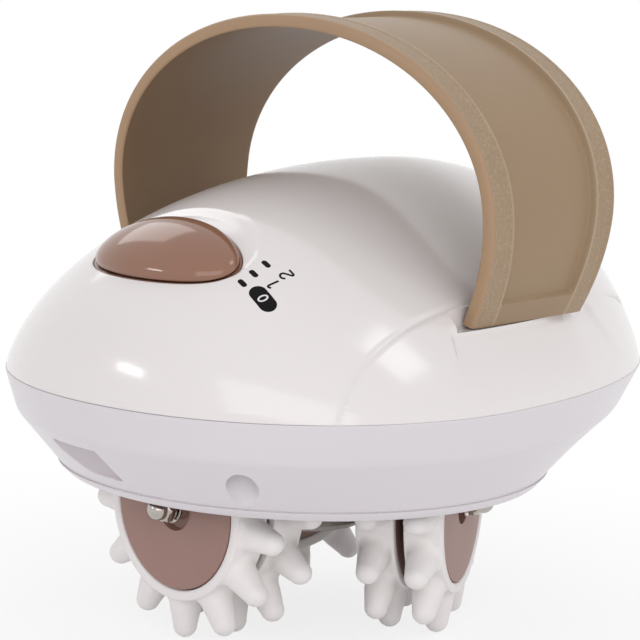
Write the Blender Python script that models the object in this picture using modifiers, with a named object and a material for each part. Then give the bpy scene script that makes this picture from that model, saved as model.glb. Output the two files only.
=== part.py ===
"""Hand-held electric roller massager, modelled piece by piece at its real size.

Metres, +Z up. The massager stands on the tips of its roller knobs at z = 0, its
nose points to -Y, and the hand strap arches over the case from side to side.
Three twin rollers stand on a carrier that a worm drive turns about a vertical axis.
"""
import math

import bmesh
import bpy
from mathutils import Matrix, Vector

# Case, outer sizes. Reaches are measured from the widest section of the case.
FRONT_REACH = 0.0642
BACK_REACH = 0.0975
HALF_WIDTH = 0.0618
SEAM_Z = 0.0565
DOME_TOP_Z = 0.1017
DOME_PEAK_SHIFT = 0.0263
CREASE_Z = 0.0477
RIM_Z = 0.0338
CASE_WALL = 0.0024
OUTLINE_POWER = 2.07
SIDE_RISE_POWER = 1.12
SIDE_CURVE_POWER = 1.85
LENGTH_RISE_POWER = 2.19
LENGTH_CURVE_POWER = 2.04
CREASE_SHARE = 0.82
OUTLINE_POINTS = 40
DOME_RINGS = 8

# Fits
GAP = 0.0003
RUNNING_GAP = 0.0018
OVERRUN = 0.002

# Rollers: the hub of the carrier lies behind the widest section of the case.
HUB_SETBACK = 0.0032
CARRIER_ANGLE = math.radians(-95.5)
ROLLER_COUNT = 3
RING_COUNT = 2
RING_WIDTH = 0.0086
RING_SPACING = 0.0107
RING_WALL = 0.0022
CORE_RADIUS = 0.0180
KNOBS_PER_RING = 13
KNOB_REACH = 0.0296
KNOB_TIP_RADIUS = 0.0028
KNOB_BASE_RADIUS = 0.0036
ROLLER_FACE_RADIUS = 0.0376
CORE_SIDES = 26
KNOB_SIDES = 6
BUTTON_SIDES = 28
# Turn of the knobs on each ring from straight down, in shares of one knob spacing
RING_TURN_SHARES = ((0.0, 0.32), (-0.29, -0.29), (0.0, -0.40))
SPACER_RADIUS = 0.0075

# Axles and their fasteners
AXLE_RADIUS = 0.0015
NUT_FLATS = 0.0055
NUT_HEIGHT = 0.0024
NUT_DOME_RADIUS = 0.0024
WASHER_RADIUS = 0.0034
WASHER_THICKNESS = 0.0006
AXLE_TIP_LENGTH = 0.0036

# Carrier
CARRIER_RADIUS = 0.0150
CARRIER_BELOW_AXLE = 0.0075
CARRIER_EDGE = 0.0012
SOCKET_RADIUS = 0.0080
WEB_THICKNESS = 0.0040
WEB_ABOVE_AXLE = 0.0064
CAP_RADIUS = 0.0115
CAP_THICKNESS = 0.0016

# Output shaft, bushes and worm drive
SHAFT_RADIUS = 0.0030
BUSH_WALL = 0.0020
BUSH_FLANGE = 0.0014
WELL_WALL = 0.0020
WELL_ROOF = 0.0025
GEAR_MODULE = 0.0010
WHEEL_TEETH = 24
WHEEL_FACE = 0.0050
WHEEL_HUB_RADIUS = 0.0062
WHEEL_HUB_LENGTH = 0.0110
TOOTH_TIP_WIDTH = 0.0004
TOOTH_PITCH_WIDTH = 0.0009
TOOTH_ROOT_WIDTH = 0.0014
WORM_PITCH_RADIUS = 0.0037
WORM_THREAD_HEIGHT = 0.0017
WORM_TURNS = 4
WORM_SIDES = 12
WORM_STEPS = 6
MOTOR_SHAFT_RADIUS = 0.0010
MOTOR_RADIUS = 0.0122
MOTOR_LENGTH = 0.0250
MOTOR_CAP_LENGTH = 0.0050
MOTOR_BOSS_RADIUS = 0.0030
MOTOR_BOSS_LENGTH = 0.0015
TERMINAL_LENGTH = 0.0035
TERMINAL_WIDTH = 0.0020
TERMINAL_THICKNESS = 0.0008
TERMINAL_OFFSET = 0.0070

# Gearbox frame
FRAME_PLATE = 0.0025
FRAME_WALL = 0.0030
FRAME_HALF_WIDTH = 0.0085
FRAME_SCREW_RADIUS = 0.0012
SCREW_HEAD_RADIUS = 0.0024
SCREW_HEAD_HEIGHT = 0.0015
MOTOR_SCREW_SPACING = 0.0070

# Strap
STRAP_SETBACK = 0.0184
STRAP_HALF_SPAN = 0.0552
STRAP_SHOULDER_Z = 0.0941
STRAP_TOP_Z = 0.1344
STRAP_FOOT_X = 0.0497
STRAP_FOOT_Z = 0.0720
TONGUE_CLEARANCE = 0.0022
STRAP_TOP_HALF_WIDTH = 0.0240
STRAP_SHOULDER_HALF_WIDTH = 0.0222
STRAP_FOOT_HALF_WIDTH = 0.0200
STRAP_THICKNESS = 0.0030
STRAP_BAND = 0.0070
STRAP_BAND_SLOPE = 0.0012
STRAP_PANEL_DEPTH = 0.0008
STRAP_LEDGE_Z = 0.0775
STRAP_ARCH_POWER = 2.07
STRAP_ARCH_STEPS = 22
STRAP_LEG_STEPS = 4
SLOT_ROOM = 0.0009
PAD_MARGIN = 0.0030
PAD_BLOCK = 0.0045
CLAMP_THICKNESS = 0.0030
CLAMP_HEIGHT = 0.0054
CLAMP_SCREW_RADIUS = 0.0012

# Slide switch
SWITCH_CENTRE_AHEAD = 0.0422
SWITCH_CENTRE_Z = 0.0869
SWITCH_TILT = math.radians(28.2)
SWITCH_TRAVEL = 0.0041
BUTTON_HALF_WIDTH = 0.0189
BUTTON_HALF_LENGTH = 0.0074
BUTTON_CROWN = 0.0036
BUTTON_SKIRT = 0.0036
CAP_HALF_WIDTH = 0.0193
CAP_HALF_LENGTH = 0.0096
CAP_SET_BACK = 0.0012
CASE_RISE = 0.0004
CASE_PEAK_ALONG = 0.0010
CASE_BOW_ACROSS = 0.114
CASE_BOW_ALONG = 0.150
TRAY_WALL = 0.0007
TRAY_FLOOR = 0.0008
TRAY_TOP = -0.0033
RECESS_DEPTH = 0.0050
RECESS_WALL = 0.0018
STEM_HALF_WIDTH = 0.0030
STEM_HALF_LENGTH = 0.0018
STEM_LENGTH = 0.0050
SWITCH_BODY_WIDTH = 0.0080
SWITCH_BODY_LENGTH = 0.0170
SWITCH_BODY_HEIGHT = 0.0040
SWITCH_WINDOW_WIDTH = 0.0050
ACTUATOR_HEIGHT = 0.0020
BOARD_WIDTH = 0.0240
BOARD_LENGTH = 0.0200
BOARD_THICKNESS = 0.0016
POST_RADIUS = 0.0022
POST_SPACING = 0.0095

# Power socket: a notch in the nose whose upright face runs out in the sloped wall below
SOCKET_X = -0.0096
SOCKET_FACE_AHEAD = 0.0576
SOCKET_CEILING_Z = 0.0460
SOCKET_HALF_WIDTH = 0.0074
SOCKET_HEIGHT = 0.0080
SOCKET_WALL = 0.0020
JACK_Z = 0.0428
JACK_HALF_WIDTH = 0.0035
JACK_HALF_HEIGHT = 0.0026
JACK_LENGTH = 0.0066
JACK_BORE_RADIUS = 0.0018
JACK_BORE_DEPTH = 0.0056
JACK_PIN_RADIUS = 0.0006
JACK_PIN_LENGTH = 0.0048

# Case screws, set in round pockets under the lower housing
CASE_SCREW_PLACES = ((math.radians(-60.8), 0.0586), (math.radians(180), 0.0556), (math.radians(75), 0.0680))
POCKET_RADIUS = 0.0034
POCKET_TOP_Z = 0.0475
BOSS_WALL = 0.0021
CASE_SCREW_RADIUS = 0.0014
CASE_SCREW_HEAD_RADIUS = 0.0027
CASE_SCREW_LENGTH = 0.0170
PILOT_DEPTH = 0.0120

# Leads
LEAD_RADIUS = 0.0008
LEAD_CLEARANCE = 0.0040
LEAD_STEPS = 22

# Places that follow from the sizes above
WIDEST_Y = (FRONT_REACH - BACK_REACH) / 2
HUB_Y = WIDEST_Y + HUB_SETBACK
STRAP_Y = WIDEST_Y + STRAP_SETBACK
AXLE_Z = KNOB_REACH
RING_RADIUS = CORE_RADIUS + GAP + RING_WALL
RING_MIDDLE = ROLLER_FACE_RADIUS - RING_WIDTH / 2
SWEPT_RADIUS = math.hypot(RING_MIDDLE + KNOB_TIP_RADIUS, KNOB_REACH)
WELL_RADIUS = SWEPT_RADIUS + RUNNING_GAP
RIM_BAND = 0.0040
RIM_RADIUS = WELL_RADIUS + RIM_BAND
WELL_CEILING_Z = AXLE_Z + KNOB_REACH + RUNNING_GAP
ROOF_TOP_Z = WELL_CEILING_Z + WELL_ROOF
CARRIER_BOTTOM_Z = AXLE_Z - CARRIER_BELOW_AXLE
CARRIER_TOP_Z = WELL_CEILING_Z - RUNNING_GAP
WEB_BOTTOM_Z = AXLE_Z + WEB_ABOVE_AXLE
WEB_TOP_Z = WEB_BOTTOM_Z + WEB_THICKNESS
WHEEL_PITCH_RADIUS = GEAR_MODULE * WHEEL_TEETH / 2
TOOTH_PITCH = math.pi * GEAR_MODULE
DRIVE_DISTANCE = WHEEL_PITCH_RADIUS + WORM_PITCH_RADIUS
WORM_TIP_RADIUS = WORM_PITCH_RADIUS + WORM_THREAD_HEIGHT / 2
WORM_ROOT_RADIUS = WORM_PITCH_RADIUS - WORM_THREAD_HEIGHT / 2
WHEEL_TIP_RADIUS = DRIVE_DISTANCE - WORM_ROOT_RADIUS - GAP
WHEEL_ROOT_RADIUS = DRIVE_DISTANCE - WORM_TIP_RADIUS - GAP
FRAME_REACH = WHEEL_TIP_RADIUS + GAP * 3
DRIVE_Z = ROOF_TOP_Z + GAP + MOTOR_RADIUS + GAP
WORM_LENGTH = TOOTH_PITCH * WORM_TURNS
FRAME_BOTTOM_Z = ROOF_TOP_Z + GAP
BRIDGE_Z = DRIVE_Z + WHEEL_HUB_LENGTH / 2 + RUNNING_GAP
MOTOR_FRONT_Y = HUB_Y + FRAME_REACH + FRAME_WALL + GAP
STRAP_TONGUE_Z = ROOF_TOP_Z + TONGUE_CLEARANCE
CLAMP_TOP_Z = STRAP_TONGUE_Z + CLAMP_HEIGHT
SOCKET_FACE_Y = HUB_Y - SOCKET_FACE_AHEAD
RECESS_MARGIN = GAP + TRAY_WALL + GAP
SLOPE = Matrix.Rotation(SWITCH_TILT, 3, "X")
SWITCH_ORIGIN = Vector((0, WIDEST_Y - SWITCH_CENTRE_AHEAD, SWITCH_CENTRE_Z))


def clear_scene():
    for item in list(bpy.data.objects):
        bpy.data.objects.remove(item, do_unlink=True)


def new_collection(name):
    collection = bpy.data.collections.new(name)
    bpy.context.scene.collection.children.link(collection)
    return collection


clear_scene()
PARTS = new_collection("roller_massager")
CUTTERS = new_collection("cutters")
MATERIALS = {}


def material(name, colour, roughness, metallic=0.0):
    """A Principled material, made once and shared by the pieces of one finish."""
    if name not in MATERIALS:
        made = bpy.data.materials.new(name)
        made.use_nodes = True
        shader = made.node_tree.nodes["Principled BSDF"]
        shader.inputs["Base Color"].default_value = (*colour, 1.0)
        shader.inputs["Roughness"].default_value = roughness
        shader.inputs["Metallic"].default_value = metallic
        MATERIALS[name] = made
    return MATERIALS[name]


def shell_white():
    return material("gloss_white_plastic", (0.81, 0.77, 0.76), 0.25)


def housing_white():
    return material("satin_white_plastic", (0.74, 0.70, 0.73), 0.35)


def strap_tan():
    return material("tan_rubber", (0.42, 0.32, 0.21), 0.55)


def mocha():
    return material("mocha_plastic", (0.37, 0.22, 0.17), 0.30)


def knob_white():
    return material("soft_white_rubber", (0.78, 0.75, 0.74), 0.60)


def steel():
    return material("bright_steel", (0.62, 0.61, 0.60), 0.18, 1.0)


def zinc():
    return material("zinc_steel", (0.48, 0.48, 0.47), 0.35, 1.0)


def bronze():
    return material("sintered_bronze", (0.45, 0.30, 0.14), 0.45, 1.0)


def nylon():
    return material("natural_nylon", (0.72, 0.70, 0.62), 0.45)


def black_plastic():
    return material("black_plastic", (0.02, 0.02, 0.02), 0.40)


def board_green():
    return material("circuit_board", (0.05, 0.18, 0.08), 0.45)


def lead_red():
    return material("lead_insulation", (0.45, 0.03, 0.03), 0.45)


def add_object(name, mesh, finish=None, parent=None):
    """Put a mesh in the scene: a part where it has a finish, a cutter where not."""
    item = bpy.data.objects.new(name, mesh)
    if finish is None:
        CUTTERS.objects.link(item)
        item.hide_render = True
        item.display_type = "WIRE"
    else:
        PARTS.objects.link(item)
        mesh.materials.append(finish)
    item.parent = parent
    return item


def mesh_from_bmesh(name, bm):
    bmesh.ops.recalc_face_normals(bm, faces=bm.faces)
    mesh = bpy.data.meshes.new(name)
    bm.to_mesh(mesh)
    bm.free()
    return mesh


def smooth(item, angle=math.radians(35)):
    item.data.shade_smooth()
    item.data.set_sharp_from_angle(angle=angle)
    return item


def cylinder(name, radius, bottom, top, sides, finish=None, parent=None, top_radius=None):
    """An upright cylinder or cone between two heights on the local Z axis."""
    bm = bmesh.new()
    height = top - bottom
    bmesh.ops.create_cone(
        bm, cap_ends=True, segments=sides, radius1=radius,
        radius2=radius if top_radius is None else top_radius, depth=height,
        matrix=Matrix.Translation((0, 0, bottom + height / 2)))
    return smooth(add_object(name, mesh_from_bmesh(name, bm), finish, parent))


def box(name, low, high, finish=None, parent=None):
    """A box between its lowest and highest corners."""
    low = Vector(low)
    high = Vector(high)
    size = high - low
    bm = bmesh.new()
    bmesh.ops.create_cube(bm, size=1, matrix=Matrix.Translation((low + high) / 2) @ Matrix.Diagonal((*size, 1)))
    return add_object(name, mesh_from_bmesh(name, bm), finish, parent)


def turned(name, profile, sides, finish=None, parent=None):
    """A turned piece: a closed profile of (radius, height) points swept by a Screw modifier."""
    mesh = bpy.data.meshes.new(name)
    on_axis = profile[0][0] == 0
    count = len(profile)
    edges = [(i, i + 1) for i in range(count - 1)]
    if not on_axis:
        edges.append((count - 1, 0))
    mesh.from_pydata([(radius, 0, height) for radius, height in profile], edges, [])
    item = add_object(name, mesh, finish, parent)
    screw = item.modifiers.new("turn", "SCREW")
    screw.steps = sides
    screw.render_steps = sides
    screw.use_merge_vertices = True
    screw.merge_threshold = GAP / 100
    screw.use_smooth_shade = True
    return item


def loft(name, rings, finish=None, tip=None, parent=None):
    """A closed solid through rings of equal counts, with flat ends or one pointed end.

    Its sides are triangles, because four points of a double curve don't lie in one plane.
    """
    bm = bmesh.new()
    rows = [[bm.verts.new(point) for point in ring] for ring in rings]
    count = len(rows[0])
    for lower, upper in zip(rows, rows[1:]):
        for i in range(count):
            j = (i + 1) % count
            bm.faces.new((lower[i], lower[j], upper[j], upper[i]))
    bmesh.ops.triangulate(bm, faces=bm.faces)
    bm.faces.new(reversed(rows[0]))
    if tip is None:
        bm.faces.new(rows[-1])
    else:
        peak = bm.verts.new(tip)
        for i in range(count):
            bm.faces.new((rows[-1][i], rows[-1][(i + 1) % count], peak))
    return smooth(add_object(name, mesh_from_bmesh(name, bm), finish, parent))


def boolean(item, other, operation):
    change = item.modifiers.new(operation.lower() + "_" + other.name, "BOOLEAN")
    change.operation = operation
    change.object = other
    change.solver = "EXACT"
    return item


def cut(item, *others):
    for other in others:
        boolean(item, other, "DIFFERENCE")
    return item


def join(item, *others):
    for other in others:
        boolean(item, other, "UNION")
    return item


def empty(name, location, rotation=None, parent=None):
    """A parent for moving pieces, on their joint's axis."""
    made = bpy.data.objects.new(name, None)
    PARTS.objects.link(made)
    made.location = location
    if rotation is not None:
        made.rotation_euler = rotation.to_euler()
    made.parent = parent
    return made


def signed_power(value, power):
    return math.copysign(abs(value) ** power, value)


def outline(inset=0.0, width_share=1.0, length_share=1.0, shift=0.0):
    """Plan of the case: an oval whose front and back halves have their own reach."""
    points = []
    for i in range(OUTLINE_POINTS):
        angle = math.tau * i / OUTLINE_POINTS
        across = signed_power(math.cos(angle), 2 / OUTLINE_POWER)
        along = signed_power(math.sin(angle), 2 / OUTLINE_POWER)
        reach = (FRONT_REACH if along < 0 else BACK_REACH) - inset
        x = across * (HALF_WIDTH - inset) * width_share
        y = WIDEST_Y + shift + along * reach * length_share
        points.append(Vector((x, y, 0)))
    return points


def at_height(points, z):
    return [Vector((point.x, point.y, z)) for point in points]


def dome(name, inset, foot_z, finish=None):
    """The top of the case, or its hollow where an inset is given, down to foot_z."""
    top = DOME_TOP_Z - inset
    rings = []
    if foot_z < SEAM_Z:
        rings.append(at_height(outline(inset), foot_z))
    for k in range(DOME_RINGS):
        rise = math.sin(math.pi / 2 * k / DOME_RINGS)
        width_share = (1 - rise ** SIDE_RISE_POWER) ** (1 / SIDE_CURVE_POWER)
        length_share = (1 - rise ** LENGTH_RISE_POWER) ** (1 / LENGTH_CURVE_POWER)
        shift = DOME_PEAK_SHIFT * (1 - length_share)
        base = max(foot_z, SEAM_Z) if k == 0 else SEAM_Z
        z = base + rise * (top - SEAM_Z)
        rings.append(at_height(outline(inset, width_share, length_share, shift), z))
    return loft(name, rings, finish, tip=(0, WIDEST_Y + DOME_PEAK_SHIFT, top))


def rim_circle(radius):
    """A circle about the hub whose points match the case outline one to one."""
    points = []
    for point in outline():
        direction = Vector((point.x, point.y - HUB_Y, 0)).normalized()
        points.append(Vector((0, HUB_Y, 0)) + direction * radius)
    return points


def bowl(name, inset, lift, top_z, finish=None):
    """The lower case: the seam outline drawn in to a round rim, in two slopes."""
    seam = outline(inset)
    rim = rim_circle(RIM_RADIUS - inset)
    crease = [r + (s - r) * CREASE_SHARE for r, s in zip(rim, seam)]
    rings = [at_height(rim, RIM_Z + lift), at_height(crease, CREASE_Z), at_height(seam, top_z)]
    return loft(name, rings, finish)


def case_screw_places():
    for angle, distance in CASE_SCREW_PLACES:
        yield Vector((distance * math.cos(angle), HUB_Y + distance * math.sin(angle), 0))


def placed(item, location, rotation=None):
    item.location = location
    if rotation is not None:
        item.rotation_euler = rotation.to_euler()
    return item


def strap_path():
    """Middle line of the strap in the XZ plane, from the right tongue to the left one."""
    half = STRAP_THICKNESS / 2
    span = STRAP_HALF_SPAN - half
    rise = STRAP_TOP_Z - half - STRAP_SHOULDER_Z
    foot_x = STRAP_FOOT_X - half
    right = [(foot_x, STRAP_TONGUE_Z)]
    for k in range(STRAP_LEG_STEPS):
        share = k / STRAP_LEG_STEPS
        x = foot_x + (span - foot_x) * (1 - (1 - share) ** 2)
        right.append((x, STRAP_FOOT_Z + (STRAP_SHOULDER_Z - STRAP_FOOT_Z) * share))
    arch = []
    for k in range(STRAP_ARCH_STEPS + 1):
        angle = math.pi * k / STRAP_ARCH_STEPS
        x = span * signed_power(math.cos(angle), 2 / STRAP_ARCH_POWER)
        z = STRAP_SHOULDER_Z + rise * abs(math.sin(angle)) ** (2 / STRAP_ARCH_POWER)
        arch.append((x, z))
    left = [(-x, z) for x, z in reversed(right)]
    return right + arch + left


def strap_half_width(z):
    if z <= STRAP_FOOT_Z:
        return STRAP_FOOT_HALF_WIDTH
    if z <= STRAP_SHOULDER_Z:
        share = (z - STRAP_FOOT_Z) / (STRAP_SHOULDER_Z - STRAP_FOOT_Z)
        return STRAP_FOOT_HALF_WIDTH + share * (STRAP_SHOULDER_HALF_WIDTH - STRAP_FOOT_HALF_WIDTH)
    share = (z - STRAP_SHOULDER_Z) / (STRAP_TOP_Z - STRAP_SHOULDER_Z)
    return STRAP_SHOULDER_HALF_WIDTH + share * (STRAP_TOP_HALF_WIDTH - STRAP_SHOULDER_HALF_WIDTH)


def strap_rings():
    """Cross-sections along the strap: two raised edge bands beside a sunk panel."""
    path = strap_path()
    last = len(path) - 1
    half = STRAP_THICKNESS / 2
    rings = []
    for i, (x, z) in enumerate(path):
        before = path[max(i - 1, 0)]
        after = path[min(i + 1, last)]
        along = Vector((after[0] - before[0], 0, after[1] - before[1])).normalized()
        if i in (0, last):
            along = Vector((0, 0, 1 if i == 0 else -1))
        outward = Vector((along.z, 0, -along.x))
        wide = strap_half_width(z)
        sunk = half - (STRAP_PANEL_DEPTH if z > STRAP_LEDGE_Z else 0)
        band = wide - STRAP_BAND
        panel = band - STRAP_BAND_SLOPE
        section = [(-wide, -half), (-wide, half), (-band, half), (-panel, sunk),
                   (panel, sunk), (band, half), (wide, half), (wide, -half)]
        middle = Vector((x, STRAP_Y, z))
        rings.append([middle + Vector((0, across, 0)) + outward * out for across, out in section])
    return rings


def button_outline(half_width, half_length, travel, depth):
    """Oval swept along its travel, as points on the switch slope at one depth."""
    points = []
    for i in range(OUTLINE_POINTS):
        angle = math.tau * (i + 1 / 2) / OUTLINE_POINTS
        along = half_length * math.sin(angle)
        along += travel / 2 * (1 if math.sin(angle) > 0 else -1)
        points.append(Vector((half_width * math.cos(angle), along, depth)))
    return points


def on_slope(points):
    return [SWITCH_ORIGIN + SLOPE @ point for point in points]


def slope_oval(name, margin, top, bottom, finish=None):
    half_width = BUTTON_HALF_WIDTH + margin
    half_length = BUTTON_HALF_LENGTH + margin
    rings = [on_slope(button_outline(half_width, half_length, SWITCH_TRAVEL, depth)) for depth in (bottom, top)]
    return loft(name, rings, finish)


def make_top_shell():
    """Domed top: a hollow with screw bosses, strap pads, switch tub and board posts left standing."""
    shell = dome("top_shell", 0.0, SEAM_Z + GAP, shell_white())
    hollow = dome("top_hollow", CASE_WALL, SEAM_Z - OVERRUN)
    for number, place in enumerate(case_screw_places(), start=1):
        boss = placed(cylinder(f"top_boss_{number}", CASE_SCREW_RADIUS + GAP + BOSS_WALL,
                               SEAM_Z - OVERRUN * 2, DOME_TOP_Z, 12), place)
        cut(hollow, boss)
    for side, word in ((1, "right"), (-1, "left")):
        cut(hollow, *strap_pads(side, word))
    tub = slope_oval("switch_tub", RECESS_MARGIN + RECESS_WALL, DOME_TOP_Z, -RECESS_DEPTH - RECESS_WALL)
    cut(hollow, tub)
    for side, word in ((1, "right"), (-1, "left")):
        cut(hollow, board_post(f"board_post_{word}", side, POST_RADIUS, -board_depth() - BOARD_THICKNESS * 2))
    cut(shell, hollow, slope_oval("switch_recess", RECESS_MARGIN, DOME_TOP_Z, -RECESS_DEPTH), stem_slot("stem_slot"))
    for side, word in ((1, "right"), (-1, "left")):
        cut(shell, strap_slot(side, word))
    for number, place in enumerate(case_screw_places(), start=1):
        pilot = cylinder(f"pilot_{number}", CASE_SCREW_RADIUS + GAP, SEAM_Z - OVERRUN,
                         SEAM_Z + PILOT_DEPTH, 10)
        cut(shell, placed(pilot, place))
    for side, word in ((1, "right"), (-1, "left")):
        start = STRAP_FOOT_X - STRAP_THICKNESS - OVERRUN
        cut(shell, clamp_hole(f"clamp_pilot_{word}", side, start, clamp_screw_tip() + GAP))
    return shell


def strap_pads(side, word):
    """Blocks inside the dome on both faces of the strap's tongue; the outer one reaches lower."""
    middle = STRAP_FOOT_X - STRAP_THICKNESS / 2
    wide = STRAP_FOOT_HALF_WIDTH + PAD_MARGIN
    narrow = STRAP_FOOT_HALF_WIDTH + PAD_MARGIN / 2
    outer = (middle - SLOT_ROOM, STRAP_FOOT_X + PAD_BLOCK, ROOF_TOP_Z + GAP * 2, DOME_TOP_Z, wide)
    inner = (middle - PAD_BLOCK, middle + SLOT_ROOM, CLAMP_TOP_Z + GAP, DOME_TOP_Z + OVERRUN, narrow)
    for name, (near, far, low, high, half) in (("outer", outer), ("inner", inner)):
        x_low, x_high = sorted((side * near, side * far))
        yield box(f"{name}_pad_{word}", (x_low, STRAP_Y - half, low), (x_high, STRAP_Y + half, high))


def strap_slot(side, word):
    """Upright slot for the tongue, wider on its outer side because the strap leans outward above it."""
    near = STRAP_FOOT_X - STRAP_THICKNESS - GAP
    x_low, x_high = sorted((side * near, side * (STRAP_FOOT_X + SLOT_ROOM)))
    half = STRAP_FOOT_HALF_WIDTH + GAP
    return box(f"strap_slot_{word}", (x_low, STRAP_Y - half, STRAP_TONGUE_Z - GAP),
               (x_high, STRAP_Y + half, STRAP_SHOULDER_Z))


def clamp_screw_tip():
    return STRAP_FOOT_X + PAD_BLOCK / 3


def clamp_screw_z():
    return STRAP_TONGUE_Z + CLAMP_HEIGHT / 2


def clamp_hole(name, side, start, end):
    turn = Matrix.Rotation(side * math.pi / 2, 3, "Y")
    hole = cylinder(name, CLAMP_SCREW_RADIUS + GAP, start, end, 10)
    return placed(hole, (0, STRAP_Y, clamp_screw_z()), turn)


def board_depth():
    """Depth of the switch board's upper face under the switch slope."""
    return RECESS_DEPTH + RECESS_WALL + STEM_LENGTH - BUTTON_SKIRT / 2 + SWITCH_BODY_HEIGHT


def board_post(name, side, radius, bottom):
    post = cylinder(name, radius, bottom, -RECESS_DEPTH - RECESS_WALL / 2, 10)
    place = SWITCH_ORIGIN + SLOPE @ Vector((side * POST_SPACING, 0, 0))
    return placed(post, place, SLOPE)


def stem_slot(name):
    half_length = SWITCH_TRAVEL / 2 + STEM_HALF_LENGTH + GAP
    slot = box(name, (-STEM_HALF_WIDTH - GAP, -half_length, -RECESS_DEPTH - RECESS_WALL * 2),
               (STEM_HALF_WIDTH + GAP, half_length, 0))
    return placed(slot, SWITCH_ORIGIN, SLOPE)


def make_lower_housing():
    """Lower case with the round well that the rollers turn in."""
    housing = bowl("lower_housing", 0.0, 0.0, SEAM_Z, housing_white())
    hollow = bowl("lower_hollow", CASE_WALL, CASE_WALL, SEAM_Z + OVERRUN)
    for number, place in enumerate(case_screw_places(), start=1):
        boss = cylinder(f"low_boss_{number}", POCKET_RADIUS + BOSS_WALL, RIM_Z - OVERRUN, SEAM_Z + OVERRUN * 2, 14)
        cut(hollow, placed(boss, place))
    cut(hollow, socket_box("socket_tub", SOCKET_WALL))
    cut(housing, hollow)
    plug = cylinder("well_plug", WELL_RADIUS + WELL_WALL, RIM_Z + CASE_WALL / 2, ROOF_TOP_Z, OUTLINE_POINTS)
    join(housing, placed(plug, (0, HUB_Y, 0)))
    well = cylinder("well", WELL_RADIUS, RIM_Z - OVERRUN, WELL_CEILING_Z, OUTLINE_POINTS)
    bore = cylinder("roof_bore", SHAFT_RADIUS + GAP + BUSH_WALL + GAP, RIM_Z, ROOF_TOP_Z + OVERRUN, 20)
    cut(housing, placed(well, (0, HUB_Y, 0)), placed(bore, (0, HUB_Y, 0)))
    for number, place in enumerate(case_screw_places(), start=1):
        pocket = cylinder(f"pocket_{number}", POCKET_RADIUS, RIM_Z - OVERRUN, POCKET_TOP_Z, 16)
        shank = cylinder(f"shank_hole_{number}", CASE_SCREW_RADIUS + GAP, POCKET_TOP_Z - OVERRUN,
                         SEAM_Z + OVERRUN, 10)
        cut(housing, placed(pocket, place), placed(shank, place))
    cut(housing, socket_box("socket_recess", 0.0), jack_opening())
    return housing


def socket_box(name, margin):
    """The notch in the nose, or the block left around it where a margin is given."""
    front = WIDEST_Y - FRONT_REACH - OVERRUN
    return box(name, (SOCKET_X - SOCKET_HALF_WIDTH - margin, front, SOCKET_CEILING_Z - SOCKET_HEIGHT - margin),
               (SOCKET_X + SOCKET_HALF_WIDTH + margin, SOCKET_FACE_Y + margin, SOCKET_CEILING_Z + margin))


def jack_opening():
    """Room through the notch's face for the socket's body."""
    return box("jack_opening",
               (SOCKET_X - JACK_HALF_WIDTH - GAP, SOCKET_FACE_Y - OVERRUN, JACK_Z - JACK_HALF_HEIGHT - GAP),
               (SOCKET_X + JACK_HALF_WIDTH + GAP, SOCKET_FACE_Y + JACK_LENGTH + GAP,
                JACK_Z + JACK_HALF_HEIGHT + GAP))


def make_power_socket():
    """Barrel socket: a block with a round bore and a pin in it, facing the nose."""
    front = SOCKET_FACE_Y
    body = box("power_socket", (SOCKET_X - JACK_HALF_WIDTH, front, JACK_Z - JACK_HALF_HEIGHT),
               (SOCKET_X + JACK_HALF_WIDTH, front + JACK_LENGTH, JACK_Z + JACK_HALF_HEIGHT), black_plastic())
    turn = Matrix.Rotation(-math.pi / 2, 3, "X")
    bore = cylinder("jack_bore", JACK_BORE_RADIUS, -OVERRUN, JACK_BORE_DEPTH, 16)
    pin = cylinder("jack_pin", JACK_PIN_RADIUS, JACK_BORE_DEPTH - JACK_PIN_LENGTH, JACK_BORE_DEPTH + GAP, 8)
    cut(body, placed(bore, (SOCKET_X, front, JACK_Z), turn))
    return join(body, placed(pin, (SOCKET_X, front, JACK_Z), turn))


def make_strap():
    strap = loft("strap", strap_rings(), strap_tan())
    for side, word in ((1, "right"), (-1, "left")):
        start = STRAP_FOOT_X - STRAP_THICKNESS - OVERRUN
        cut(strap, clamp_hole(f"strap_hole_{word}", side, start, STRAP_FOOT_X + OVERRUN))


def make_strap_clamps():
    """A bar inside the case presses each tongue of the strap to its pad with one screw."""
    half = STRAP_FOOT_HALF_WIDTH - PAD_MARGIN * 3
    face = STRAP_FOOT_X - STRAP_THICKNESS - GAP
    turn_in = OVERRUN * 2
    for side, word in ((1, "right"), (-1, "left")):
        x_low, x_high = sorted((side * (face - CLAMP_THICKNESS), side * face))
        clamp = box(f"strap_clamp_{word}", (x_low, STRAP_Y - half, STRAP_TONGUE_Z),
                    (x_high, STRAP_Y + half, CLAMP_TOP_Z), zinc())
        cut(clamp, clamp_hole(f"clamp_hole_{word}", side, face - CLAMP_THICKNESS - turn_in, face + turn_in))
        turn = Matrix.Rotation(side * math.pi / 2, 3, "Y")
        under_head = face - CLAMP_THICKNESS - GAP
        make_screw(f"clamp_screw_{word}", CLAMP_SCREW_RADIUS, SCREW_HEAD_RADIUS, under_head,
                   clamp_screw_tip(), (0, STRAP_Y, clamp_screw_z()), turn)


def make_screw(name, radius, head_radius, under_head, tip, location, rotation=None, parent=None):
    """A pan-head screw on its local Z axis: the head lies below under_head, the point at tip."""
    profile = [(0, tip), (radius / 2, tip), (radius, tip - radius), (radius, under_head),
               (head_radius, under_head), (head_radius, under_head - SCREW_HEAD_HEIGHT / 2),
               (head_radius / 2, under_head - SCREW_HEAD_HEIGHT), (0, under_head - SCREW_HEAD_HEIGHT)]
    screw = turned(name, profile, 10, zinc(), parent)
    return placed(screw, location, rotation)


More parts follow.
